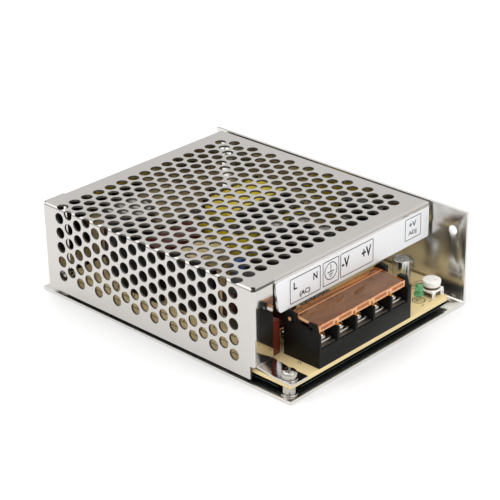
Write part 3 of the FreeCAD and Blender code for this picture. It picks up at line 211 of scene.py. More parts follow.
def finish(name, colour, other, roughness, spread=0.1, amount=0.6, scale=300, grain=MOULD_GRAIN,
           metallic=0.0, bump=0.05, **sockets):
    """A material between two screen colours on a shared grain, with further sockets as plain numbers."""
    grain_height = 0.05 * MM
    paint = bpy.data.materials.new(name)
    paint.use_nodes = True
    tree = paint.node_tree
    shader = tree.nodes["Principled BSDF"]
    group, raised = tree.nodes.new("ShaderNodeGroup"), tree.nodes.new("ShaderNodeBump")
    group.node_tree = grain
    values = {"Colour": tone(*colour), "Other colour": tone(*other), "Amount": amount,
              "Roughness": roughness, "Roughness spread": spread, "Scale": scale}
    for label, value in values.items():
        group.inputs[label].default_value = value
    raised.inputs["Strength"].default_value = bump
    raised.inputs["Distance"].default_value = grain_height
    tree.links.new(group.outputs["Colour"], shader.inputs["Base Color"])
    tree.links.new(group.outputs["Roughness"], shader.inputs["Roughness"])
    tree.links.new(group.outputs["Height"], raised.inputs["Height"])
    tree.links.new(raised.outputs["Normal"], shader.inputs["Normal"])
    shader.inputs["Metallic"].default_value = metallic
    for label, value in sockets.items():
        shader.inputs[label.replace("_", " ")].default_value = value
    return paint


# Mesh cover: one thin bright sheet, punched flat in staggered lines and then folded, so the holes run
# round its long corner. It carries a lip in front for the label, a rear wall, corner flanges and a foot.
COVER_METAL = finish("cover_metal", (209, 205, 201), (195, 191, 186), 0.04, 0.09, 0.5, 260, MILL_GRAIN,
                     1.0, 0.04)
CUT_METAL = finish("cut_metal", (134, 129, 122), (102, 98, 91), 0.42, 0.2, 0.8, 900, metallic=1.0, bump=0.3)
GAUGE, BEND_INSIDE = 0.8 * MM, 0.4 * MM
BEND_OUTSIDE = GAUGE + BEND_INSIDE
FLANGE, NOTCH_HEIGHT, SLIT = 9.6 * MM, 5.2 * MM, 0.2 * MM


def new_piece(name, work, paints, stands_for="", body="case"):
    """An object from a finished bmesh that rides on a CAD body, smooth except at its sharp edges."""
    sharp = math.radians(35)
    for face in work.faces:
        face.smooth = True
    for edge in work.edges:
        if len(edge.link_faces) == 2 and edge.calc_face_angle(0) > sharp:
            edge.smooth = False
    mesh = bpy.data.meshes.new(name)
    work.to_mesh(mesh)
    work.free()
    for paint in paints if isinstance(paints, tuple) else (paints,):
        mesh.materials.append(paint)
    piece = bpy.data.objects.new(name, mesh)
    bpy.context.scene.collection.objects.link(piece)
    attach(piece, body)
    if stands_for:
        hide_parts(stands_for)


def flat_fill(work, loops):
    """Fills the area inside the first loop and outside the others with triangles, at Z = 0."""
    edges = []
    for loop in loops:
        corners = [work.verts.new((a, b, 0)) for a, b in loop]
        edges += [work.edges.new((corners[i - 1], corners[i])) for i in range(len(corners))]
    bmesh.ops.triangle_fill(work, use_beauty=True, use_dissolve=False, edges=edges)


def thicken(work, shift, rim_paint=0):
    """Doubles a flat or bent skin: shift gives the place of each vertex's twin, and the rims are closed."""
    top_faces, top_verts = list(work.faces), list(work.verts)
    rims = [edge for edge in work.edges if len(edge.link_faces) == 1]
    twins = {vert: work.verts.new(shift(vert.co)) for vert in top_verts}
    for face in top_faces:
        work.faces.new([twins[vert] for vert in reversed(face.verts)])
    for edge in rims:
        a, b = edge.verts
        work.faces.new([a, b, twins[b], twins[a]]).material_index = rim_paint
    bmesh.ops.recalc_face_normals(work, faces=work.faces)


def arc(a, b, radius, start, end, count):
    """Points on part of a circle, both ends included, with the angles in degrees."""
    angles = [math.radians(start + (end - start) * i / count) for i in range(count + 1)]
    return [(a + radius * math.cos(angle), b + radius * math.sin(angle)) for angle in angles]


def circle(a, b, radius, count):
    """Points round a whole circle."""
    return arc(a, b, radius, 0, 360, count)[:-1]


def plate(origin, right, up, outline, depth, holes=()):
    """A flat plate: an outline in its own right and up directions, thickened by a depth vector."""
    work = bmesh.new()
    flat_fill(work, [outline, *holes])
    for vert in work.verts:
        vert.co = Vector(origin) + right * vert.co.x + up * vert.co.y
    thicken(work, lambda place: place + depth)
    return work


def bend(centre, axis, first, second, length):
    """A quarter fold of the sheet between two directions."""
    steps = 8
    angles = [math.pi / 2 * i / steps for i in range(steps + 1)]
    ways = [first * math.cos(angle) + second * math.sin(angle) for angle in angles]
    ring = [Vector(centre) + way * BEND_OUTSIDE for way in ways]
    ring += [Vector(centre) + way * BEND_INSIDE for way in reversed(ways)]
    work = bmesh.new()
    near, far = [work.verts.new(p) for p in ring], [work.verts.new(p + axis * length) for p in ring]
    count = len(ring)
    for i in range(count):
        j = (i + 1) % count
        work.faces.new([near[i], near[j], far[j], far[i]])
    for i in range(steps):
        work.faces.new([near[i], near[i + 1], near[count - 2 - i], near[count - 1 - i]])
        work.faces.new([far[i + 1], far[i], far[count - 1 - i], far[count - 2 - i]])
    bmesh.ops.recalc_face_normals(work, faces=work.faces)
    return work


def merged(parts):
    """Several bmeshes as one."""
    whole = bmesh.new()
    for part in parts:
        mesh = bpy.data.meshes.new("part")
        part.to_mesh(mesh)
        part.free()
        whole.from_mesh(mesh)
        bpy.data.meshes.remove(mesh)
    return whole


def punched_holes(front, rear):
    """The round holes of the flat sheet in staggered lines. Its long corner is to be folded at zero."""
    bore, pitch, line_pitch, lines = 4.5 * MM, 6 * MM, 5 * MM, 19
    holes_over, holes_down, top_start, side_start, corners = 15, 5, 1.95 * MM, 4.1 * MM, 36
    first_line = (front + rear - (lines - 1) * line_pitch) / 2
    holes = []
    for line in range(lines):
        shift = pitch / 2 if line % 2 else 0.0
        across = [-(top_start + shift + i * pitch) for i in range(holes_over)]
        across += [side_start - shift + i * pitch for i in range(holes_down)]
        holes += [circle(s, first_line + line * line_pitch, bore / 2, corners) for s in across]
    return holes


def folded_sheet(low, high, front, lip_left):
    """The top and the left side, cut flat with their holes and folded at the long corner."""
    relief, notch_depth, strips = 0.9 * MM, 2 * MM, 8
    left, top, rear = low.x, high.z, high.y
    over, down, join = left - high.x, top - low.z, left - lip_left + SLIT
    notch = down - NOTCH_HEIGHT
    inner_y, outer_y = front + BEND_OUTSIDE, rear - BEND_OUTSIDE
    sheet = bmesh.new()
    flat_fill(sheet, [[
        (over, inner_y), (join, inner_y), (join, front), (-BEND_OUTSIDE, front),
        *arc(-BEND_OUTSIDE, inner_y, relief, -90, -360, 12),
        (notch, inner_y), (notch, front + notch_depth), (down, front + notch_depth), (down, outer_y),
        (-BEND_OUTSIDE, outer_y), (-BEND_OUTSIDE, rear), (join, rear), (join, outer_y), (over, outer_y),
    ], *punched_holes(front, rear)])
    for i in range(strips + 1):
        cut = BEND_OUTSIDE * (2 * i / strips - 1)
        bmesh.ops.bisect_plane(sheet, geom=[*sheet.verts, *sheet.edges, *sheet.faces],
                               plane_co=(cut, 0, 0), plane_no=X, dist=1e-9)
    centre = Vector((left + BEND_OUTSIDE, 0, top - BEND_OUTSIDE))

    def folded_place(s, y, depth):
        """Where a point of the flat sheet goes, a depth under its outer skin."""
        if s <= -BEND_OUTSIDE:
            return Vector((left - s, y, top - depth))
        if s >= BEND_OUTSIDE:
            return Vector((left + depth, y, top - s))
        angle = math.pi / 4 * (s / BEND_OUTSIDE + 1)
        reach = BEND_OUTSIDE - depth
        return centre + Vector((-math.sin(angle) * reach, y, math.cos(angle) * reach))

    inner_places = {}
    for vert in sheet.verts:
        s, y = vert.co.x, vert.co.y
        vert.co = folded_place(s, y, 0)
        inner_places[tuple(vert.co)] = folded_place(s, y, GAUGE)
    thicken(sheet, lambda place: inner_places[tuple(place)], 1)
    return sheet


def end_sheets(low, high, front, lip_left, flange_foot):
    """The label's lip and the rear wall below the top's folded ends, and the flanges beside them."""
    lip_height, slant, corner = 13.7 * MM, 1.5 * MM, 1.6 * MM
    left, level, top = low.x + BEND_OUTSIDE, high.z - BEND_OUTSIDE, high.z - GAUGE - SLIT
    width, reach = high.x - lip_left, FLANGE - BEND_OUTSIDE
    lip_foot, wall_foot = BEND_OUTSIDE - lip_height, low.z - level
    lip = [(0, 0), *arc(slant + corner, corner + lip_foot, corner, 180, 270, 6), (width, lip_foot),
           (width, 0)]
    wall = [(0, 0), (0, wall_foot), (width, wall_foot), (width, 0)]
    parts = []
    for y, inward, sheet, foot, fold_foot in ((front, Y, lip, flange_foot, low.z + NOTCH_HEIGHT),
                                              (high.y, -Y, wall, low.z, low.z)):
        fold_y, flange = y + inward.y * BEND_OUTSIDE, [(0, foot), (reach, foot), (reach, top), (0, top)]
        parts += [plate((lip_left, y, level), X, Z, sheet, inward * GAUGE),
                  bend((lip_left, fold_y, level), X, -inward, Z, width),
                  plate((left, y, 0), X, Z, flange, inward * GAUGE),
                  bend((left, fold_y, fold_foot), Z, -X, -inward, top - fold_foot)]
    return parts


def corner_foot(right, front, flange_foot, board_top):
    """The foot of the front flange: bent inwards, sloped down and flat on the board."""
    width, reach, tip_gap = 8 * MM, 8 * MM, 1 * MM
    left, start_y, rest_y = right - width, front - BEND_INSIDE, front - reach
    low, tip = flange_foot - BEND_OUTSIDE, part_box("terminal_block")[0].y - tip_gap
    skin = [(start_y, low), (rest_y, board_top), (tip, board_top)]
    outline = [*skin, *((y, z + GAUGE) for y, z in reversed(skin))]
    return [bend((left, start_y, flange_foot), X, Y, -Z, width),
            plate((left, 0, 0), Y, Z, outline, X * width)]


def make_mesh_cover():
    low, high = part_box("mesh_cover")
    front, board_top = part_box("label_strip")[1].y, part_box("circuit_board")[1].z
    flange_gap, foot_rise = 1.2 * MM, 1 * MM
    flange_right, flange_foot = low.x + FLANGE, board_top + foot_rise + BEND_OUTSIDE
    lip_left = flange_right + flange_gap
    parts = [folded_sheet(low, high, front, lip_left), *end_sheets(low, high, front, lip_left, flange_foot),
             *corner_foot(flange_right, front, flange_foot, board_top)]
    new_piece("cover_sheet", merged(parts), (COVER_METAL, CUT_METAL), "mesh_cover")


make_mesh_cover()


# Label: a white film glued over the whole lip, printed in black with thin frames, the signs of the
# mains and output terminals, the earth sign and the sign of the trimmer.
LABEL_WHITE = finish("label_white", (240, 241, 243), (233, 234, 237), 0.38, 0.1, 0.8, 60, bump=0.12)
LABEL_INK = finish("label_ink", (14, 14, 16), (24, 24, 26), 0.5, 0.1, 0.5, 400, Specular_IOR_Level=0.2)
LABEL_GREY = finish("label_grey_ink", (84, 84, 88), (104, 104, 108), 0.5, 0.1, 0.5, 400)
LETTER_WEIGHT, TOUCHING = 0.028, 1e-6


def framed(left, right, low, high, radius, width):
    """A rounded frame as an outline and its hole."""
    loops = []
    least_radius = 0.01 * MM
    for inset in (0, width):
        r = max(radius - inset, least_radius)
        a, b, c, d = left + inset + r, right - inset - r, low + inset + r, high - inset - r
        loops.append(arc(b, c, r, -90, 0, 4) + arc(b, d, r, 0, 90, 4) + arc(a, d, r, 90, 180, 4)
                     + arc(a, c, r, 180, 270, 4))
    return loops


def lettering(words, left, right, low, high, y, depth):
    """Letters from the built-in face, stretched to a box on a plane that looks towards -Y."""
    data = bpy.data.curves.new("lettering", "FONT")
    data.body = words
    data.resolution_u = 4
    data.offset = LETTER_WEIGHT
    holder = bpy.data.objects.new("lettering", data)
    bpy.context.scene.collection.objects.link(holder)
    bpy.context.view_layer.update()
    mesh = bpy.data.meshes.new_from_object(holder.evaluated_get(bpy.context.evaluated_depsgraph_get()))
    work = bmesh.new()
    work.from_mesh(mesh)
    bpy.data.objects.remove(holder)
    bpy.data.curves.remove(data)
    bpy.data.meshes.remove(mesh)
    bmesh.ops.remove_doubles(work, verts=work.verts, dist=TOUCHING)
    xs, ys = [vert.co.x for vert in work.verts], [vert.co.y for vert in work.verts]
    first, lowest = min(xs), min(ys)
    wider, taller = (right - left) / (max(xs) - first), (high - low) / (max(ys) - lowest)
    for vert in work.verts:
        vert.co = Vector((left + (vert.co.x - first) * wider, y, low + (vert.co.y - lowest) * taller))
    thicken(work, lambda place: place + Y * depth)
    return work


def make_label():
    low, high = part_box("label_strip")
    cover_low, cover_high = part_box("mesh_cover")
    ink, line, front = 0.03 * MM, 0.3 * MM, low.y
    left, right = cover_low.x + 10.95 * MM, cover_high.x - 0.2 * MM
    slant, corner, nick, over_edge, under_edge = 1.5 * MM, 1.5 * MM, 0.5 * MM, 0.1 * MM, 0.6 * MM
    width, drop = right - left, high.z - low.z + over_edge + under_edge
    sheet = plate((left, front + ink, high.z + over_edge), X, Z,
                  [*arc(corner, -corner, corner, 90, 175, 5),
                   *arc(slant + corner, corner - drop, corner, 185, 270, 5),
                   (width - nick, -drop), (width, nick - drop), (width, -nick), (width - nick, 0)],
                  Y * (high.y - front - ink))
    new_piece("label_film", sheet, LABEL_WHITE, "label_strip")

    def printed(outline, holes=(), x=0.0, z=0.0):
        """One flat mark in ink on the film."""
        return plate((x, front, z), X, Z, outline, Y * ink, holes)

    def printed_frame(radius, *sides):
        """A rounded frame with its sides in millimetres of the case's own frame."""
        outline, hole = framed(*(side * MM for side in sides), radius * MM, line)
        return printed(outline, [hole])

    def printed_words(words, *sides):
        """Letters between sides in millimetres of the case's own frame."""
        return lettering(words, *(side * MM for side in sides), front, ink)

    black = [printed_frame(0.6, -30.9, -15.0, 25.4, 35.0), printed_frame(0.6, -13.8, -5.1, 25.5, 35.0),
             printed_frame(0.6, -4.4, 13.8, 25.6, 35.0), printed_words("L", -29.0, -27.2, 30.4, 33.2),
             printed_words("N", -18.8, -16.6, 30.4, 33.2), printed_words("(AC)", -25.9, -20.5, 26.3, 28.8),
             printed_words("-V", -3.6, 0.5, 28.8, 33.0), printed_words("+V", 7.3, 12.6, 28.8, 33.0)]
    grey = [printed_frame(0.4, 32.0, 41.4, 26.6, 35.4), printed_words("+V", 34.3, 38.6, 31.4, 33.6),
            printed_words("ADJ", 34.0, 38.8, 28.0, 30.0)]
    x, z, reach, stroke, bar = -9.5 * MM, 30.6 * MM, 3.4 * MM, 0.32 * MM, 0.35 * MM
    black.append(printed(circle(0, 0, reach, 40), [circle(0, 0, reach - stroke, 40)], x, z))
    strokes = [(stroke / 2, -0.2 * MM, 2.6 * MM)]
    for half, level in ((1.8 * MM, -0.5 * MM), (1.1 * MM, -1.4 * MM), (0.5 * MM, -2.3 * MM)):
        strokes.append((half, level, level + bar))
    for half, foot, head in strokes:
        black.append(printed([(-half, foot), (half, foot), (half, head), (-half, head)], (), x, z))
    new_piece("label_marks", merged(black), LABEL_INK)
    new_piece("label_marks_grey", merged(grey), LABEL_GREY)


make_label()


# Chassis: the thicker bright sheet, folded once into the base plate and the tall side wall, with a
# screw tab at the rear. Its rolled surface mirrors what stands on it, and its cut edges are bright.
CHASSIS_METAL = finish("chassis_metal", (228, 226, 222), (214, 211, 206), 0.15, 0.16, 0.5, 240, MILL_GRAIN,
                       1.0, 0.03)


def cad_solid(name):
    """A CAD node's own solid, welded at its corners."""
    work = bmesh.new()
    work.from_mesh(nodes[name].data)
    bmesh.ops.remove_doubles(work, verts=work.verts, dist=TOUCHING)
    return work


def softened(name, width):
    """A CAD node's own solid with its sharp edges rounded."""
    flat, sharp = math.radians(0.5), math.radians(25)
    work = cad_solid(name)
    bmesh.ops.dissolve_limit(work, angle_limit=flat, verts=work.verts, edges=work.edges)
    bmesh.ops.triangulate(work, faces=[face for face in work.faces if len(face.verts) > 4])
    edges = [edge for edge in work.edges if len(edge.link_faces) == 2 and edge.calc_face_angle(0) > sharp]
    bmesh.ops.bevel(work, geom=edges, offset=width, offset_type="OFFSET", segments=2, profile=0.5,
                    affect="EDGES", clamp_overlap=True)
    return work


def softened_piece(name, node, width, paint):
    """A piece that has a CAD node's own solid, with its sharp edges rounded."""
    new_piece(name, softened(node, width), paint, node)


softened_piece("chassis_sheet", "chassis", 0.3 * MM, CHASSIS_METAL)


# Circuit board: single-sided brown paper laminate on four posts. Its parts are outlined in dark print
# on top, and the copper side below is under dark green lacquer.
BOARD_LAMINATE = finish("board_laminate", (238, 216, 162), (226, 200, 146), 0.38, 0.15, 0.9, 500, bump=0.1)
BOARD_PRINT = finish("board_print", (70, 58, 42), (96, 80, 58), 0.6, 0.1, 0.8, 700)
BOARD_LACQUER = finish("board_lacquer", (16, 44, 38), (10, 30, 27), 0.16, 0.08, 0.8, 300)


def middle(low, high, level):
    """The centre line of a solid at a level."""
    return Vector(((low.x + high.x) / 2, (low.y + high.y) / 2, level))


def make_board():
    low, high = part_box("circuit_board")
    softened_piece("board_sheet", "circuit_board", 0.08 * MM, BOARD_LAMINATE)
    coat, ink, print_width = 0.05 * MM, 0.02 * MM, 0.35 * MM
    underside = cad_solid("circuit_board")
    upper = [face for face in underside.faces if face.normal.z > -0.9]
    bmesh.ops.delete(underside, geom=upper, context="FACES")
    thicken(underside, lambda place: place - Z * coat)
    new_piece("board_lacquer", underside, BOARD_LACQUER)
    prints = []

    def band(x0, y0, x1, y1):
        """A straight printed line between two places in millimetres."""
        start, end = Vector((x0 * MM, y0 * MM, 0)), Vector((x1 * MM, y1 * MM, 0))
        side = (end - start).normalized().cross(Z) * print_width / 2
        corners = [start - side, end - side, end + side, start + side]
        prints.append(plate((0, 0, high.z), X, Y, [(p.x, p.y) for p in corners], Z * ink))

    def loop(x, y, width, depth, turn=0.0):
        """A printed outline in millimetres: a rounded frame turned about its middle."""
        half_width, half_depth = width * MM / 2, depth * MM / 2
        spin = Matrix.Rotation(math.radians(turn), 2)
        loops = framed(-half_width, half_width, -half_depth, half_depth, half_depth * 0.98, print_width)
        outline, hole = [[tuple(spin @ Vector(p)) for p in points] for points in loops]
        prints.append(plate((x * MM, y * MM, high.z), X, Y, outline, Z * ink, [hole]))

    left, front, rear = low.x / MM, low.y / MM, high.y / MM
    side_line, second_line, foot = left + 3.3, left + 7.4, left + 13.2
    for x in (side_line, second_line):
        band(x, front + 18, x, rear - 8)
    for y in range(-40, 46, 9):
        band(second_line, y, second_line + 4.5, y + 3.5)
        loop(second_line + 5.5, y - 2.5, 2.6, 2.6)
    light = middle(*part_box("status_light"), 0) / MM
    loop(light.x, light.y, 5.2, 5.0)
    for shift in (-2.2, 2.2):
        band(light.x + shift - 0.8, light.y - 3.6, light.x + shift + 0.8, light.y - 3.6)
    small = middle(*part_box("small_capacitor"), 0) / MM
    loop(small.x, small.y, 8.4, 8.4)
    loop(small.x + 1.5, small.y - 3.6, 14.0, 3.2, -24)
    loop(small.x + 2.2, small.y - 3.0, 10.0, 1.6, -24)
    band(small.x + 5.0, small.y - 2.0, small.x + 9.0, small.y - 3.6)
    for y in (-55.6, -54.6):
        band(foot, y, foot + 0.9, y + 0.5)
    new_piece("board_print", merged(prints), BOARD_PRINT)


make_board()


# Insulating film: a dark sheet between the board and the base plate, its corners cut away round the
# posts.
FILM = finish("film_dark", (22, 34, 31), (16, 24, 23), 0.14, 0.1, 0.8, 200)


def rounded_box(low, high, radius, segments=3):
    """A box with rounded edges between two corners."""
    work = bmesh.new()
    low, high = Vector(low), Vector(high)
    size = high - low
    placed = Matrix.Translation((low + high) / 2) @ Matrix.Diagonal((*size, 1))
    bmesh.ops.create_cube(work, size=1, matrix=placed)
    radius = min(radius, min(size) * 0.45)
    bmesh.ops.bevel(work, geom=list(work.edges), offset=radius, segments=segments, profile=0.5,
                    affect="EDGES")
    return work


def carved(work, tools):
    """What is left of a solid once other solids are cut out of it, one after the other."""
    holders = []
    for solid in (work, *tools):
        mesh = bpy.data.meshes.new("carving")
        solid.to_mesh(mesh)
        solid.free()
        holders.append(bpy.data.objects.new("carving", mesh))
        bpy.context.scene.collection.objects.link(holders[-1])
    for tool in holders[1:]:
        cut = holders[0].modifiers.new("cut", "BOOLEAN")
        cut.object = tool
        cut.operation = "DIFFERENCE"
        cut.solver = "EXACT"
    bpy.context.view_layer.update()
    mesh = bpy.data.meshes.new_from_object(holders[0].evaluated_get(bpy.context.evaluated_depsgraph_get()))
    result = bmesh.new()
    result.from_mesh(mesh)
    bpy.data.meshes.remove(mesh)
    for holder in holders:
        old = holder.data
        bpy.data.objects.remove(holder)
        bpy.data.meshes.remove(old)
    return result


def island_boxes(name):
    """The lowest and highest corner of each separate solid of a CAD node."""
    work = cad_solid(name)
    waiting, boxes = set(work.verts), []
    while waiting:
        reach, island = [waiting.pop()], []
        while reach:
            vert = reach.pop()
            island.append(vert.co.copy())
            for edge in vert.link_edges:
                other = edge.other_vert(vert)
                if other in waiting:
                    waiting.remove(other)
                    reach.append(other)
        boxes.append((Vector([min(p[i] for p in island) for i in range(3)]),
                      Vector([max(p[i] for p in island) for i in range(3)])))
    work.free()
    return sorted(boxes, key=lambda box: (round(box[0].x, 5), round(box[0].y, 5)))


def make_film():
    low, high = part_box("insulating_film")
    clearance = 3.3 * MM

    def reach(post, start, end):
        """The sides of a corner's cut along one axis, from past the film to clear of the post."""
        if post < 0:
            return min(start - MM, post), post + clearance
        return post - clearance, max(end + MM, post)

    cuts = []
    for post_low, post_high in island_boxes("standoffs"):
        post = middle(post_low, post_high, low.z)
        x0, x1 = reach(post.x, low.x, high.x)
        y0, y1 = reach(post.y, low.y, high.y)
        cuts.append(rounded_box((x0, y0, low.z - MM), (x1, y1, high.z + MM), 0.05 * MM, 1))
    new_piece("film_sheet", carved(rounded_box(low, high, 0.02 * MM, 1), cuts), FILM,
              "insulating_film")


make_film()


# Posts, screws and washers: turned and pressed in steel with bright nickel plating. A pan-head screw
# with a cross recess, a split spring washer and a flat washer hold the board at each of its posts.
NICKEL = finish("nickel", (190, 187, 180), (166, 162, 155), 0.07, 0.12, 0.6, 900, metallic=1.0)


def lathe(profile, count=40, hollow=False):
    """A solid turned about Z from (radius, height) points. A hollow one is a ring that misses the axis."""
    work = bmesh.new()
    rings = []
    for radius, height in profile:
        corners = circle(0, 0, radius, count) if radius > 1e-7 else [(0, 0)]
        rings.append([work.verts.new((a, b, height)) for a, b in corners])
    pairs = list(zip(rings, rings[1:]))
    if hollow:
        pairs.append((rings[-1], rings[0]))
    for near, far in pairs:
        for i in range(count):
            j = (i + 1) % count
            corners = [near[i % len(near)], near[j % len(near)], far[j % len(far)], far[i % len(far)]]
            work.faces.new(list(dict.fromkeys(corners)))
    bmesh.ops.recalc_face_normals(work, faces=work.faces)
    return work


def set_at(work, place, turn=Matrix.Identity(4)):
    """Turns a bmesh about its own origin and moves it to a place."""
    bmesh.ops.transform(work, matrix=Matrix.Translation(place) @ turn, verts=work.verts)
    return work


def pan_head(radius, height):
    """The outline of a low domed screw head, from its rim to its axis."""
    shares = ((0.94, 0), (1, 0.1), (1, 0.42), (0.95, 0.66), (0.82, 0.85), (0.6, 0.96), (0, 1))
    return [(radius * across, height * rise) for across, rise in shares]


def cross_screw(low, high, head_height):
    """One screw: threaded shank, pan head and a cross recess."""
    radius, seat = (high.x - low.x) / 2, high.z - head_height - low.z
    shank, thread, pitch = 1.45 * MM, 0.12 * MM, 0.5 * MM
    profile = [(0, 0), (shank * 0.7, 0)]
    for i in range(int((seat - pitch) / pitch)):
        profile += [(shank, (i + 0.5) * pitch), (shank - thread, (i + 1) * pitch)]
    profile += [(shank, seat)] + [(r, seat + h) for r, h in pan_head(radius, head_height)]
    span, half, depth = radius * 0.74, 0.425 * MM, head_height * 0.6
    outline = [(a * c - b * s, a * s + b * c) for c, s in ((1, 0), (0, 1), (-1, 0), (0, -1))
               for a, b in ((span, -half), (span, half), (half, half))]
    recess = plate((0, 0, seat + head_height - depth), X, Y, outline, Z * 2 * depth)
    turn = Matrix.Rotation(math.radians(38), 4, "Z")
    return set_at(carved(lathe(profile, 48), [recess]), middle(low, high, low.z), turn)


def split_ring(low, high, bore):
    """A spring washer: a square ring cut at one place, its two ends a little apart in height."""
    outer, inner, thick = (high.x - low.x) / 2, bore / 2, high.z - low.z
    lean, gap, steps = thick * 0.25, 14, 40
    work = bmesh.new()
    rings = []
    for i in range(steps + 1):
        angle = math.radians(gap / 2 + (360 - gap) * i / steps)
        rise = lean * i / steps
        way = Vector((math.cos(angle), math.sin(angle), 0))
        corners = ((inner, rise), (outer, rise), (outer, rise + thick - lean), (inner, rise + thick - lean))
        rings.append([work.verts.new(way * r + Z * h) for r, h in corners])
    for near, far in zip(rings, rings[1:]):
        for k in range(4):
            work.faces.new([near[k - 1], near[k], far[k], far[k - 1]])
    work.faces.new(rings[0])
    work.faces.new(reversed(rings[-1]))
    bmesh.ops.recalc_face_normals(work, faces=work.faces)
    return set_at(work, middle(low, high, low.z), Matrix.Rotation(math.radians(-70), 4, "Z"))


def flat_ring(low, high, bore):
    """A flat washer with rolled edges."""
    outer, inner, thick = (high.x - low.x) / 2, bore / 2, high.z - low.z
    edge = thick * 0.25
    profile = [(inner, edge), (inner + edge, 0), (outer - edge, 0), (outer, edge), (outer, thick - edge),
               (outer - edge, thick), (inner + edge, thick), (inner, thick - edge)]
    return set_at(lathe(profile, 40, hollow=True), middle(low, high, low.z))


def make_fixings():
    bore, head, post, rim, step = 3.1 * MM, 2.2 * MM, 2.3 * MM, 0.5 * MM, 0.1 * MM
    posts = []
    for low, high in island_boxes("standoffs"):
        flange, tall = (high.x - low.x) / 2, high.z - low.z
        profile = [(bore / 2, 0), (flange - step, 0), (flange, step), (flange, rim - step),
                   (flange - step, rim), (post, rim + step / 2), (post, tall - 1.5 * step),
                   (post - 1.5 * step, tall), (bore / 2, tall)]
        posts.append(set_at(lathe(profile, 40, hollow=True), middle(low, high, low.z)))
    front_screw = [cross_screw(*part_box("cover_screw"), head)]
    rear_screws = [cross_screw(*box, head) for box in island_boxes("board_screws")]
    springs = [split_ring(*box, bore) for box in island_boxes("spring_washers")]
    flats = [flat_ring(*box, bore) for box in island_boxes("flat_washers")]
    for name, node, parts in (("standoff_posts", "standoffs", posts),
                              ("front_screw", "cover_screw", front_screw),
                              ("rear_screws", "board_screws", rear_screws),
                              ("spring_rings", "spring_washers", springs),
                              ("flat_rings", "flat_washers", flats)):
        new_piece(name, merged(parts), NICKEL, node)


make_fixings()


# Terminal block: one black glass-filled moulding with five open wells, soldered to the board's edge.
# Ears at both ends carry the flip cover's pivots and its catches.
BLOCK_BLACK = finish("block_black", (14, 14, 13), (22, 21, 20), 0.3, 0.16, 0.8, 900, bump=0.25,
                     Specular_IOR_Level=0.12)
softened_piece("block_moulding", "terminal_block", 0.15 * MM, BLOCK_BLACK)


# Terminals: in each well a tinned strip, darkened with painted shade, and on it a square plate with a
# ridged face that a nickel screw pulls down on the wire. The screw's head takes a flat blade or a cross.
TINNED = finish("tinned", (206, 203, 196), (182, 178, 170), 0.09, 0.14, 0.7, 700, metallic=1.0)
# The contact strips' tin is darker than the plates' tinned finish: painted shade, for the strips lying down
# in the wells' shadow.
TIN_PAINTED_SHADE = finish("tin_painted_shade", (112, 109, 103), (90, 87, 82), 0.3, 0.2, 0.7, 700, metallic=1.0)


def clamp_plate(low, high):
    """A square plate with a bore and two grooves across its front."""
    bore, groove, depth, margin = 1.4 * MM, 0.35 * MM, 0.3 * MM, 0.5 * MM
    drill = lathe([(0, -MM), (bore, -MM), (bore, 2 * MM), (0, 2 * MM)], 24)
    tools = [set_at(drill, middle(low, high, low.z))]
    for y in (low.y + 0.25 * MM, low.y + 0.75 * MM):
        tools.append(rounded_box((low.x + margin, y - groove / 2, high.z - depth),
                                 (high.x - margin, y + groove / 2, high.z + depth), 0.03 * MM, 1))
    return carved(rounded_box(low, high, 0.18 * MM, 2), tools)


def crossed_slots(reach, half, floor, second_reach=None, radius=0.02 * MM):
    """Two crossed cutters that reach down to a floor. The one along X can be shorter."""
    return [rounded_box((-a, -b, floor), (a, b, floor + 2 * MM), radius, 1)
            for a, b in ((half, reach), (second_reach or reach, half))]


def clamp_screw(low, high, head_height):
    """A wide screw with a slot and a shorter cross arm."""
    radius, seat = (high.x - low.x) / 2, high.z - head_height - low.z
    shank, chamfer, depth, half = 1.3 * MM, 0.3 * MM, 0.9 * MM, 0.4 * MM
    floor = seat + head_height - depth
    profile = [(0, 0), (shank * 0.8, 0), (shank, chamfer), (shank, seat)]
    profile += [(r, seat + h) for r, h in pan_head(radius, head_height)]
    tools = crossed_slots(radius * 1.1, half, floor, radius * 0.6, 0.03 * MM)
    return set_at(carved(lathe(profile, 48), tools), middle(low, high, low.z))


def make_terminals():
    head_height = 2 * MM
    softened_piece("contact_strips", "terminal_contacts", 0.06 * MM, TIN_PAINTED_SHADE)
    for way in range(1, 6):
        pressed, turned, body = f"clamp_plate_{way}", f"terminal_screw_{way}", f"clamp_{way}"
        new_piece(f"wire_plate_{way}", clamp_plate(*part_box(pressed)), TINNED, pressed, body)
        new_piece(f"wire_screw_{way}", clamp_screw(*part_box(turned), head_height), NICKEL,
                  turned, body)


make_terminals()


# Flip cover: clear amber plastic, hinged on two pins in the block's rear ears. A groove runs along it
# in front of the hinge, and its front lip is cut into a tongue for each way, each with a sunk window.
AMBER = finish("amber_clear", (255, 184, 98), (240, 150, 74), 0.02, 0.04, 1.0, 1500, bump=0.02,
               IOR=1.49, Transmission_Weight=0.92, Specular_IOR_Level=0.4)
# The rim amber is lighter and less clear than the plate's: painted light, standing in for the glow that the
# clear plastic carries to its rims.
AMBER_RIM_PAINTED_LIGHT = finish("amber_rim_painted_light", (254, 204, 152), (250, 178, 118), 0.15, 0.1, 0.8, 600,
                   Transmission_Weight=0.3, IOR=1.49)


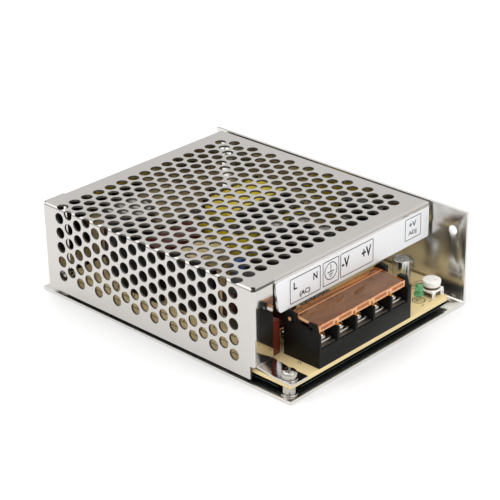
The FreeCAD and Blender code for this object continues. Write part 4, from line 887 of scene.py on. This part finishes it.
def make_flip_cover():
    low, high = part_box("terminal_cover")
    ways = [middle(*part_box(f"terminal_screw_{way}"), 0).x for way in range(1, 6)]
    groove_y, groove_half, groove_depth, end_gap = high.y - 3.0 * MM, 0.35 * MM, 0.5 * MM, 1.6 * MM
    window_half, window_depth = (ways[-1] - ways[0]) / 8 - 1.5 * MM, 0.3 * MM
    window_low, window_high, lip_skin = high.z - 3.0 * MM, high.z - 1.5 * MM, 0.2 * MM
    tools = [rounded_box((low.x + end_gap, groove_y - groove_half, high.z - groove_depth),
                         (high.x - end_gap, groove_y + groove_half, high.z + MM), 0.02 * MM, 1)]
    for x in ways:
        tools.append(rounded_box((x - window_half, low.y - MM, window_low),
                                 (x + window_half, low.y + window_depth, window_high), 0.1 * MM, 1))
    flap = carved(softened("terminal_cover", 0.28 * MM), tools)
    # Window floors and broad faces take the clear amber; the other faces take the rim amber with its
    # painted light.
    for face in flap.faces:
        sunk = face.normal.y < -0.9 and face.calc_center_median().y > low.y + lip_skin
        broad = face.normal.z < -0.97 or 0.97 < face.normal.z < 0.999
        face.material_index = 0 if sunk or broad else 1
    new_piece("flip_cover", flap, (AMBER, AMBER_RIM_PAINTED_LIGHT), "terminal_cover", "terminal_lid")


make_flip_cover()


# Status light: a green tinted resin body with a rim, a waist and a round dome on two tinned legs.
LIGHT_GREEN = finish("light_green", (140, 226, 172), (116, 214, 152), 0.06, 0.06, 0.6, 300,
                     Transmission_Weight=0.8, IOR=1.5)
LIGHT_CUP = finish("light_cup", (190, 214, 190), (150, 190, 160), 0.2, 0.1, 0.6, 300, metallic=0.8)


def make_status_light():
    low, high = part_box("status_light")
    radius, body, rim, edge = (high.x - low.x) / 2, 1.5 * MM, 0.9 * MM, 0.1 * MM
    tall, centre = high.z - low.z, middle(low, high, low.z)
    straight = tall - body
    profile = [(0, 0), (radius - edge, 0), (radius, edge), (radius, rim - edge), (radius - edge, rim),
               (body, rim + edge / 2), (body - 0.12 * MM, straight - 0.8 * MM),
               (body, straight - 0.4 * MM), *arc(0, straight, body, 0, 90, 8)[:-1], (0, tall)]
    new_piece("light_lens", set_at(lathe(profile, 36), centre), LIGHT_GREEN, "status_light")
    inset, half, foot = 0.55 * MM, 0.25 * MM, 0.3 * MM
    posts = [rounded_box(centre + Vector((shift - half, -half, foot)),
                         centre + Vector((shift + half, half, tall * share)), 0.05 * MM, 1)
             for shift, share in ((-inset, 0.45), (inset, 0.52))]
    new_piece("light_posts", merged(posts), LIGHT_CUP)
    softened_piece("light_legs", "status_light_legs", 0.06 * MM, TINNED)


make_status_light()


# Trimmer: a white moulded knob with a shallow cross, over a white frame on looped feet. A brown
# resistive wafer lies between them, and its dark back shows under the frame.
TRIMMER_WHITE = finish("trimmer_white", (246, 244, 239), (238, 235, 229), 0.4, 0.1, 0.7, 500,
                       Subsurface_Weight=0.15, Subsurface_Scale=0.5 * MM)
TRIMMER_BROWN = finish("trimmer_brown", (104, 82, 56), (70, 52, 36), 0.4, 0.2, 0.8, 900)


def make_trimmer():
    low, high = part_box("trimmer_disc")
    base_low, base_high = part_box("trimmer_base")
    track_low, track_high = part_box("trimmer_track")
    radius, neck, edge, play = (high.x - low.x) / 2, 0.9 * MM, 0.35 * MM, 0.05 * MM
    foot, tall = track_high.z - low.z + play, high.z - low.z
    profile = [(0, 0), (neck, 0), (neck, foot), (radius * 0.9, foot), (radius - 0.15 * MM, foot + edge),
               *arc(radius - edge, tall - edge, edge, 0, 90, 5), (0, tall)]
    slot_reach, slot_half, slot_depth = 2.1 * MM, 0.28 * MM, 0.35 * MM
    knob = carved(lathe(profile, 64), crossed_slots(slot_reach, slot_half, tall - slot_depth))
    set_at(knob, middle(low, high, low.z), Matrix.Rotation(math.radians(20), 4, "Z"))
    new_piece("trimmer_knob_top", knob, TRIMMER_WHITE, "trimmer_disc", "trimmer_knob")
    bore, rim, thick = neck + play, (track_high.x - track_low.x) / 2, track_high.z - track_low.z
    wafer = lathe([(bore, 0), (rim, 0), (rim, thick), (bore, thick)], 40, hollow=True)
    set_at(wafer, middle(track_low, track_high, track_low.z))
    new_piece("trimmer_wafer", wafer, TRIMMER_BROWN, "trimmer_track")
    frame_low = track_low.z - 1.1 * MM
    leg_wide, leg_thick, leg_bar, top_bar = 1.6 * MM, 0.6 * MM, 0.45 * MM, 0.2 * MM
    pieces = [rounded_box((base_low.x, base_low.y, frame_low), base_high, 0.4 * MM)]
    for x, y in ((base_low.x, base_low.y), (base_high.x - leg_wide, base_low.y),
                 (base_low.x + 2.5 * MM, base_high.y - leg_thick)):
        leg = rounded_box((x, y, base_low.z), (x + leg_wide, y + leg_thick, frame_low + 0.1 * MM),
                          0.1 * MM, 1)
        window = rounded_box((x + leg_bar, y - MM, base_low.z + 0.5 * MM),
                             (x + leg_wide - leg_bar, y + 2 * MM, frame_low - top_bar), 0.05 * MM, 1)
        pieces.append(carved(leg, [window]))
    new_piece("trimmer_frame", merged(pieces), TRIMMER_WHITE, "trimmer_base")
    inset, lift = 0.8 * MM, 0.3 * MM
    back = rounded_box((base_low.x + inset, base_low.y + inset, base_low.z + lift),
                       (base_high.x - inset, base_high.y - inset, frame_low), 0.3 * MM)
    new_piece("trimmer_back", back, TRIMMER_BROWN)


make_trimmer()


# Transformer: two ferrite halves held by a band of yellow tape round a black bobbin, whose winding is
# wrapped in the same glossy tape.
FERRITE = finish("ferrite", (58, 57, 56), (44, 43, 42), 0.45, 0.2, 0.8, 600, bump=0.3)
BOBBIN_BLACK = finish("bobbin_black", (26, 25, 24), (20, 19, 18), 0.4, 0.1, 0.6, 700,
                      Specular_IOR_Level=0.25)
TAPE_YELLOW = finish("tape_yellow", (238, 214, 44), (226, 198, 34), 0.22, 0.12, 0.9, 120, bump=0.15)
softened_piece("core_halves", "transformer_core", 0.3 * MM, FERRITE)
softened_piece("bobbin", "transformer_bobbin", 0.15 * MM, BOBBIN_BLACK)
softened_piece("winding_tape", "transformer_winding", 0.5 * MM, TAPE_YELLOW)
softened_piece("core_band", "core_tape", 0.03 * MM, TAPE_YELLOW)


# Round capacitors: aluminium cans in shrunk sleeves that turn in over the top and leave a bare disc,
# scored with a cross so that it can vent.
SLEEVE = finish("can_sleeve", (30, 31, 35), (22, 23, 27), 0.22, 0.12, 0.7, 300, Specular_IOR_Level=0.3)
CAN_METAL = finish("can_metal", (208, 208, 206), (190, 190, 188), 0.12, 0.12, 0.6, 500, metallic=1.0)


def make_can(name, low, high, stands_for="", wrap=SLEEVE):
    """One can: the sleeve with its neck groove, and the scored top inside its rim."""
    radius, tall = (high.x - low.x) / 2, high.z - low.z
    rim, sunk, shoulder, groove = radius * 0.84, 0.25 * MM, radius * 0.14, tall * 0.1
    profile = [(0, 0), (radius * 0.92, 0), (radius, shoulder), (radius, groove),
               (radius * 0.93, groove + shoulder), (radius, groove + 2 * shoulder),
               *arc(radius - shoulder, tall - shoulder, shoulder, 0, 90, 5),
               (rim, tall - sunk / 2), (rim, tall - sunk), (0, tall - sunk)]
    sleeve = set_at(lathe(profile, 48), middle(low, high, low.z))
    new_piece(f"{name}_sleeve", sleeve, wrap, stands_for)
    disc = lathe([(0, 0), (rim - 0.05 * MM, 0), (rim - 0.15 * MM, sunk * 0.4), (0, sunk * 0.8)], 40)
    score, turn = 0.09 * MM, Matrix.Rotation(math.radians(25), 4, "Z")
    top = carved(disc, crossed_slots(rim * 0.75, score, sunk * 0.3, radius=0.01 * MM))
    new_piece(f"{name}_top", set_at(top, middle(low, high, high.z - sunk), turn), CAN_METAL)


for node_name, wrap in (("bulk_capacitor", SLEEVE), ("start_capacitor", SLEEVE),
                        ("small_capacitor", CAN_METAL)):
    make_can(node_name, *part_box(node_name), node_name, wrap)
for number, box in enumerate(island_boxes("output_capacitors"), start=1):
    make_can(f"output_can_{number}", *box, "output_capacitors" if number == 1 else "")


# Film capacitors: boxes of glossy lacquered plastic with rounded corners, in dark red, beige and red
# brown, on the mains side of the board.
RED_CASE = finish("red_case", (98, 26, 24), (80, 20, 19), 0.18, 0.1, 0.7, 250)
BEIGE_CASE = finish("beige_case", (214, 192, 140), (200, 176, 124), 0.35, 0.1, 0.7, 400)
BROWN_CASE = finish("brown_case", (112, 46, 32), (92, 36, 26), 0.2, 0.1, 0.7, 250)
def boxed_piece(name, node, radius, paint, segments=3):
    """A piece that fills a CAD node's box, with rounded edges."""
    new_piece(name, rounded_box(*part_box(node), radius, segments), paint, node)


for node_name, case_paint, case_slot in (("film_capacitor", RED_CASE, "red_brown_case"),
                                         ("filter_capacitor", BEIGE_CASE, "beige_case"),
                                         ("input_capacitor", BROWN_CASE, "red_brown_case")):
    boxed_piece(f"{node_name}_case", node_name, 0.6 * MM, case_paint, 4)


# Bridge rectifier, power transistor and its heat sink: black epoxy packages, and a black plate that
# stands on the board behind the case's left side.
EPOXY = finish("epoxy_black", (16, 16, 17), (11, 11, 12), 0.42, 0.15, 0.8, 900, bump=0.2,
               Specular_IOR_Level=0.12)
BLACK_PLATE = finish("black_plate", (16, 16, 18), (12, 12, 14), 0.3, 0.12, 0.7, 400,
                     Specular_IOR_Level=0.12)
boxed_piece("bridge_case", "bridge_rectifier", 0.5 * MM, EPOXY)
softened_piece("transistor_case", "power_transistor", 0.25 * MM, EPOXY)
boxed_piece("sink_plate", "transistor_heat_sink", 0.15 * MM, BLACK_PLATE)


# Mains choke: a ferrite frame with a layer of lacquered copper wire round two of its legs.
COPPER = finish("copper_wire", (196, 112, 66), (168, 84, 44), 0.2, 0.12, 0.7, 700, metallic=1.0)
DARK_WIRE = finish("dark_wire", (74, 40, 26), (50, 28, 20), 0.25, 0.12, 0.7, 700, Specular_IOR_Level=0.4)


def wire(points, sideways, radius):
    """A round wire in a closed loop of points, each with a direction across it."""
    work = bmesh.new()
    sides, count = 6, len(points)
    rings = []
    for i, (point, side) in enumerate(zip(points, sideways)):
        along = (points[(i + 1) % count] - points[i - 1]).normalized()
        lift = along.cross(side).normalized()
        rings.append([work.verts.new(point + side * a + lift * b) for a, b in circle(0, 0, radius, sides)])
    for i in range(count):
        near, far = rings[i - 1], rings[i]
        for k in range(sides):
            work.faces.new([near[k - 1], near[k], far[k], far[k - 1]])
    bmesh.ops.recalc_face_normals(work, faces=work.faces)
    return work


def make_mains_choke():
    softened_piece("choke_frame", "input_choke_core", 0.3 * MM, FERRITE)
    thread, corner, turns = 0.42 * MM, 1.6 * MM, []
    for low, high in island_boxes("input_choke_winding"):
        layers = int((high.z - low.z) / (2 * thread))
        step = (high.z - low.z) / layers
        for i in range(layers):
            level = low.z + (i + 0.5) * step
            for inset in (thread, 2.3 * thread):
                outline = framed(low.x + inset, high.x - inset, low.y + inset, high.y - inset, corner,
                                 thread)[0]
                points = [Vector((a, b, level)) for a, b in outline]
                points = [p for k, p in enumerate(points) if (p - points[k - 1]).length > TOUCHING]
                turns.append(wire(points, [Z] * len(points), min(thread, step / 2) * 0.98))
    new_piece("choke_wire", merged(turns), DARK_WIRE, "input_choke_winding")


make_mains_choke()


# Fuse: a glass tube with nickel caps, held in two sprung clips on the board.
GLASS = finish("fuse_glass", (238, 244, 242), (232, 240, 238), 0.02, 0.03, 0.5, 200, bump=0.0,
               Transmission_Weight=0.95, IOR=1.5)


def make_fuse():
    low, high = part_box("fuse_tube")
    radius, length, wall, strand = (high.y - low.y) / 2, high.x - low.x, 0.5 * MM, 0.12 * MM
    cap_wall, chamfer, rounding, stem_half = 0.1 * MM, 0.2 * MM, 0.1 * MM, 0.5 * MM
    spring_out, spring_in = radius + 0.55 * MM, radius + 0.15 * MM
    lying = Matrix.Rotation(math.radians(90), 4, "Y")
    start = Vector((low.x, (low.y + high.y) / 2, (low.z + high.z) / 2))
    tube = lathe([(radius - wall, 0), (radius, 0), (radius, length), (radius - wall, length)], 40,
                 hollow=True)
    new_piece("fuse_glass_tube", set_at(tube, start, lying), GLASS, "fuse_tube")
    link = lathe([(0, 0), (strand, 0), (strand, length), (0, length)], 8)
    new_piece("fuse_strand", set_at(link, start, lying), TINNED)
    parts = []
    for clip_low, clip_high in island_boxes("fuse_clips"):
        axis, wide = middle(clip_low, clip_high, start.z), clip_high.x - clip_low.x
        inset = wide * 0.15
        cap = lathe([(0, 0), (radius, 0), (radius + cap_wall, chamfer), (radius + cap_wall, wide - chamfer),
                     (radius, wide), (0, wide)], 40)
        parts.append(set_at(cap, (clip_low.x, axis.y, axis.z), lying))
        outline = arc(0, 0, spring_out, -225, 45, 24) + arc(0, 0, spring_in, 45, -225, 24)
        parts.append(plate((clip_low.x + inset, axis.y, axis.z), Y, Z, outline, X * (wide - 2 * inset)))
        parts.append(rounded_box((clip_low.x + inset, axis.y - stem_half, clip_low.z),
                                 (clip_high.x - inset, axis.y + stem_half, axis.z - radius), rounding, 1))
    new_piece("fuse_caps_and_clips", merged(parts), TINNED, "fuse_clips")


make_fuse()


# Output rectifier: a black package that a steel bar presses on a grey pad against the side wall.
PAD_GREY = finish("pad_grey", (150, 152, 156), (136, 138, 142), 0.7, 0.1, 0.6, 900)
BAR_METAL = finish("bar_metal", (200, 200, 202), (180, 181, 184), 0.25, 0.12, 0.6, 400, metallic=1.0)
boxed_piece("rectifier_pad", "heat_pad", 0.05 * MM, PAD_GREY)
softened_piece("rectifier_case", "output_rectifier", 0.25 * MM, EPOXY)
boxed_piece("rectifier_bar", "rectifier_clamp", 0.2 * MM, BAR_METAL)


# Output choke: a ring core that lies on the board, wound all round with thick lacquered copper.
RING_CORE = finish("ring_core", (196, 176, 70), (176, 156, 58), 0.4, 0.15, 0.7, 600)


def make_output_choke():
    low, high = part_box("output_choke")
    outer, inner, tall = (high.x - low.x) / 2, 3.5 * MM, high.z - low.z
    thread, turns, samples = 0.45 * MM, 26, 20
    wall, centre = 2 * thread, middle(low, high, low.z)
    core = [(inner + wall, wall), (outer - wall, wall), (outer - wall, tall - wall),
            (inner + wall, tall - wall)]
    new_piece("ring_core", set_at(lathe(core, 48, hollow=True), centre), RING_CORE)
    mean, half, half_height = (outer + inner) / 2, (outer - inner) / 2 - thread, tall / 2 - thread
    squareness = 0.6
    points, sideways = [], []
    for i in range(turns * samples):
        round_angle, loop_angle = 2 * math.pi * i / (turns * samples), 2 * math.pi * i / samples
        way = Vector((math.cos(round_angle), math.sin(round_angle), 0))
        across, rise = [math.copysign(abs(v) ** squareness, v)
                        for v in (math.cos(loop_angle), math.sin(loop_angle))]
        points.append(centre + way * (mean + half * across) + Z * (tall / 2 + half_height * rise))
        sideways.append(Vector((-way.y, way.x, 0)))
    new_piece("ring_wire", wire(points, sideways, thread * 0.95), COPPER, "output_choke")


make_output_choke()


# Small parts: a blue ceramic disc, grey resistors with colour bands, a white optocoupler and a black
# control chip, all soldered to the board.
DISC_BLUE = finish("disc_blue", (46, 92, 172), (36, 76, 150), 0.18, 0.1, 0.7, 300)
RESISTOR_GREY = finish("resistor_grey", (150, 164, 158), (130, 146, 140), 0.45, 0.1, 0.7, 600)
OPTO_WHITE = finish("opto_white", (226, 224, 216), (212, 210, 202), 0.45, 0.1, 0.6, 600)
BAND_BROWN = finish("band_brown", (92, 50, 28), (80, 42, 24), 0.5, 0.1, 0.5, 600)
BAND_GOLD = finish("band_gold", (190, 150, 70), (170, 130, 56), 0.35, 0.1, 0.5, 600)


def make_disc():
    low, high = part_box("disc_capacitor")
    radius, thick = (high.x - low.x) / 2, (high.y - low.y) / 2
    drop, lead, half_pitch = high.z - radius - low.z, 0.3 * MM, 2 * MM
    rim = [(radius * 0.5, thick * 0.95), (radius * 0.85, thick * 0.7)]
    lens = [(0, -thick), *((r, -h) for r, h in rim), (radius, 0), *reversed(rim), (0, thick)]
    upright = Matrix.Rotation(math.radians(90), 4, "X")
    disc = set_at(lathe(lens, 40), middle(low, high, high.z - radius), upright)
    new_piece("ceramic_disc", disc, DISC_BLUE, "disc_capacitor")
    legs = []
    for shift in (-half_pitch, half_pitch):
        leg = lathe([(0, 0), (lead, 0), (lead, drop), (0, drop)], 12)
        legs.append(set_at(leg, middle(low, high, low.z) + X * shift))
    new_piece("disc_legs", merged(legs), TINNED)


def make_resistors():
    lying, bodies, dark_bands, gold_bands = Matrix.Rotation(math.radians(-90), 4, "X"), [], [], []
    for low, high in island_boxes("power_resistors"):
        radius, length = (high.z - low.z) / 2, high.y - low.y
        waist, cap = radius * 0.86, length * 0.16
        inner, outer, wide = waist * 0.9, waist + 0.03 * MM, length * 0.06
        end = [(radius * 0.7, 0), (radius, cap * 0.4), (radius, cap), (waist, cap * 1.4)]
        profile = [(0, 0), *end, *((r, length - h) for r, h in reversed(end)), (0, length)]
        foot = Vector(((low.x + high.x) / 2, low.y, (low.z + high.z) / 2))
        bodies.append(set_at(lathe(profile, 32), foot, lying))
        for share, bands in ((0.3, dark_bands), (0.42, dark_bands), (0.54, dark_bands), (0.7, gold_bands)):
            near, far = length * share, length * share + wide
            band = lathe([(inner, near), (outer, near), (outer, far), (inner, far)], 32, hollow=True)
            bands.append(set_at(band, foot, lying))
    new_piece("resistor_bodies", merged(bodies), RESISTOR_GREY, "power_resistors")
    new_piece("resistor_bands", merged(dark_bands), BAND_BROWN)
    new_piece("resistor_gold_bands", merged(gold_bands), BAND_GOLD)


def make_chip(node, pins, paint):
    """A chip's body with a notch at one end, and its pins along both sides."""
    low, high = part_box(node)
    inset, lift, overlap, pin_half = (high.x - low.x) * 0.12, 0.6 * MM, 0.2 * MM, 0.3 * MM
    notch, notch_depth, knee = 0.7 * MM, 0.4 * MM, (low.z + high.z) / 2
    body = rounded_box((low.x + inset, low.y, low.z + lift), (high.x - inset, high.y, high.z), 0.2 * MM)
    drill = set_at(lathe([(0, 0), (notch, 0), (notch, MM), (0, MM)], 24),
                   ((low.x + high.x) / 2, high.y, high.z - notch_depth))
    legs = []
    for i in range(pins):
        y = low.y + (i + 0.5) * (high.y - low.y) / pins
        for x0, x1 in ((low.x, low.x + inset + overlap), (high.x - inset - overlap, high.x)):
            legs.append(rounded_box((x0, y - pin_half, low.z), (x1, y + pin_half, knee), 0.08 * MM, 1))
    new_piece(f"{node}_body", carved(body, [drill]), paint, node)
    new_piece(f"{node}_pins", merged(legs), TINNED)


make_disc()
make_resistors()
make_chip("optocoupler", 2, OPTO_WHITE)
make_chip("control_chip", 4, EPOXY)
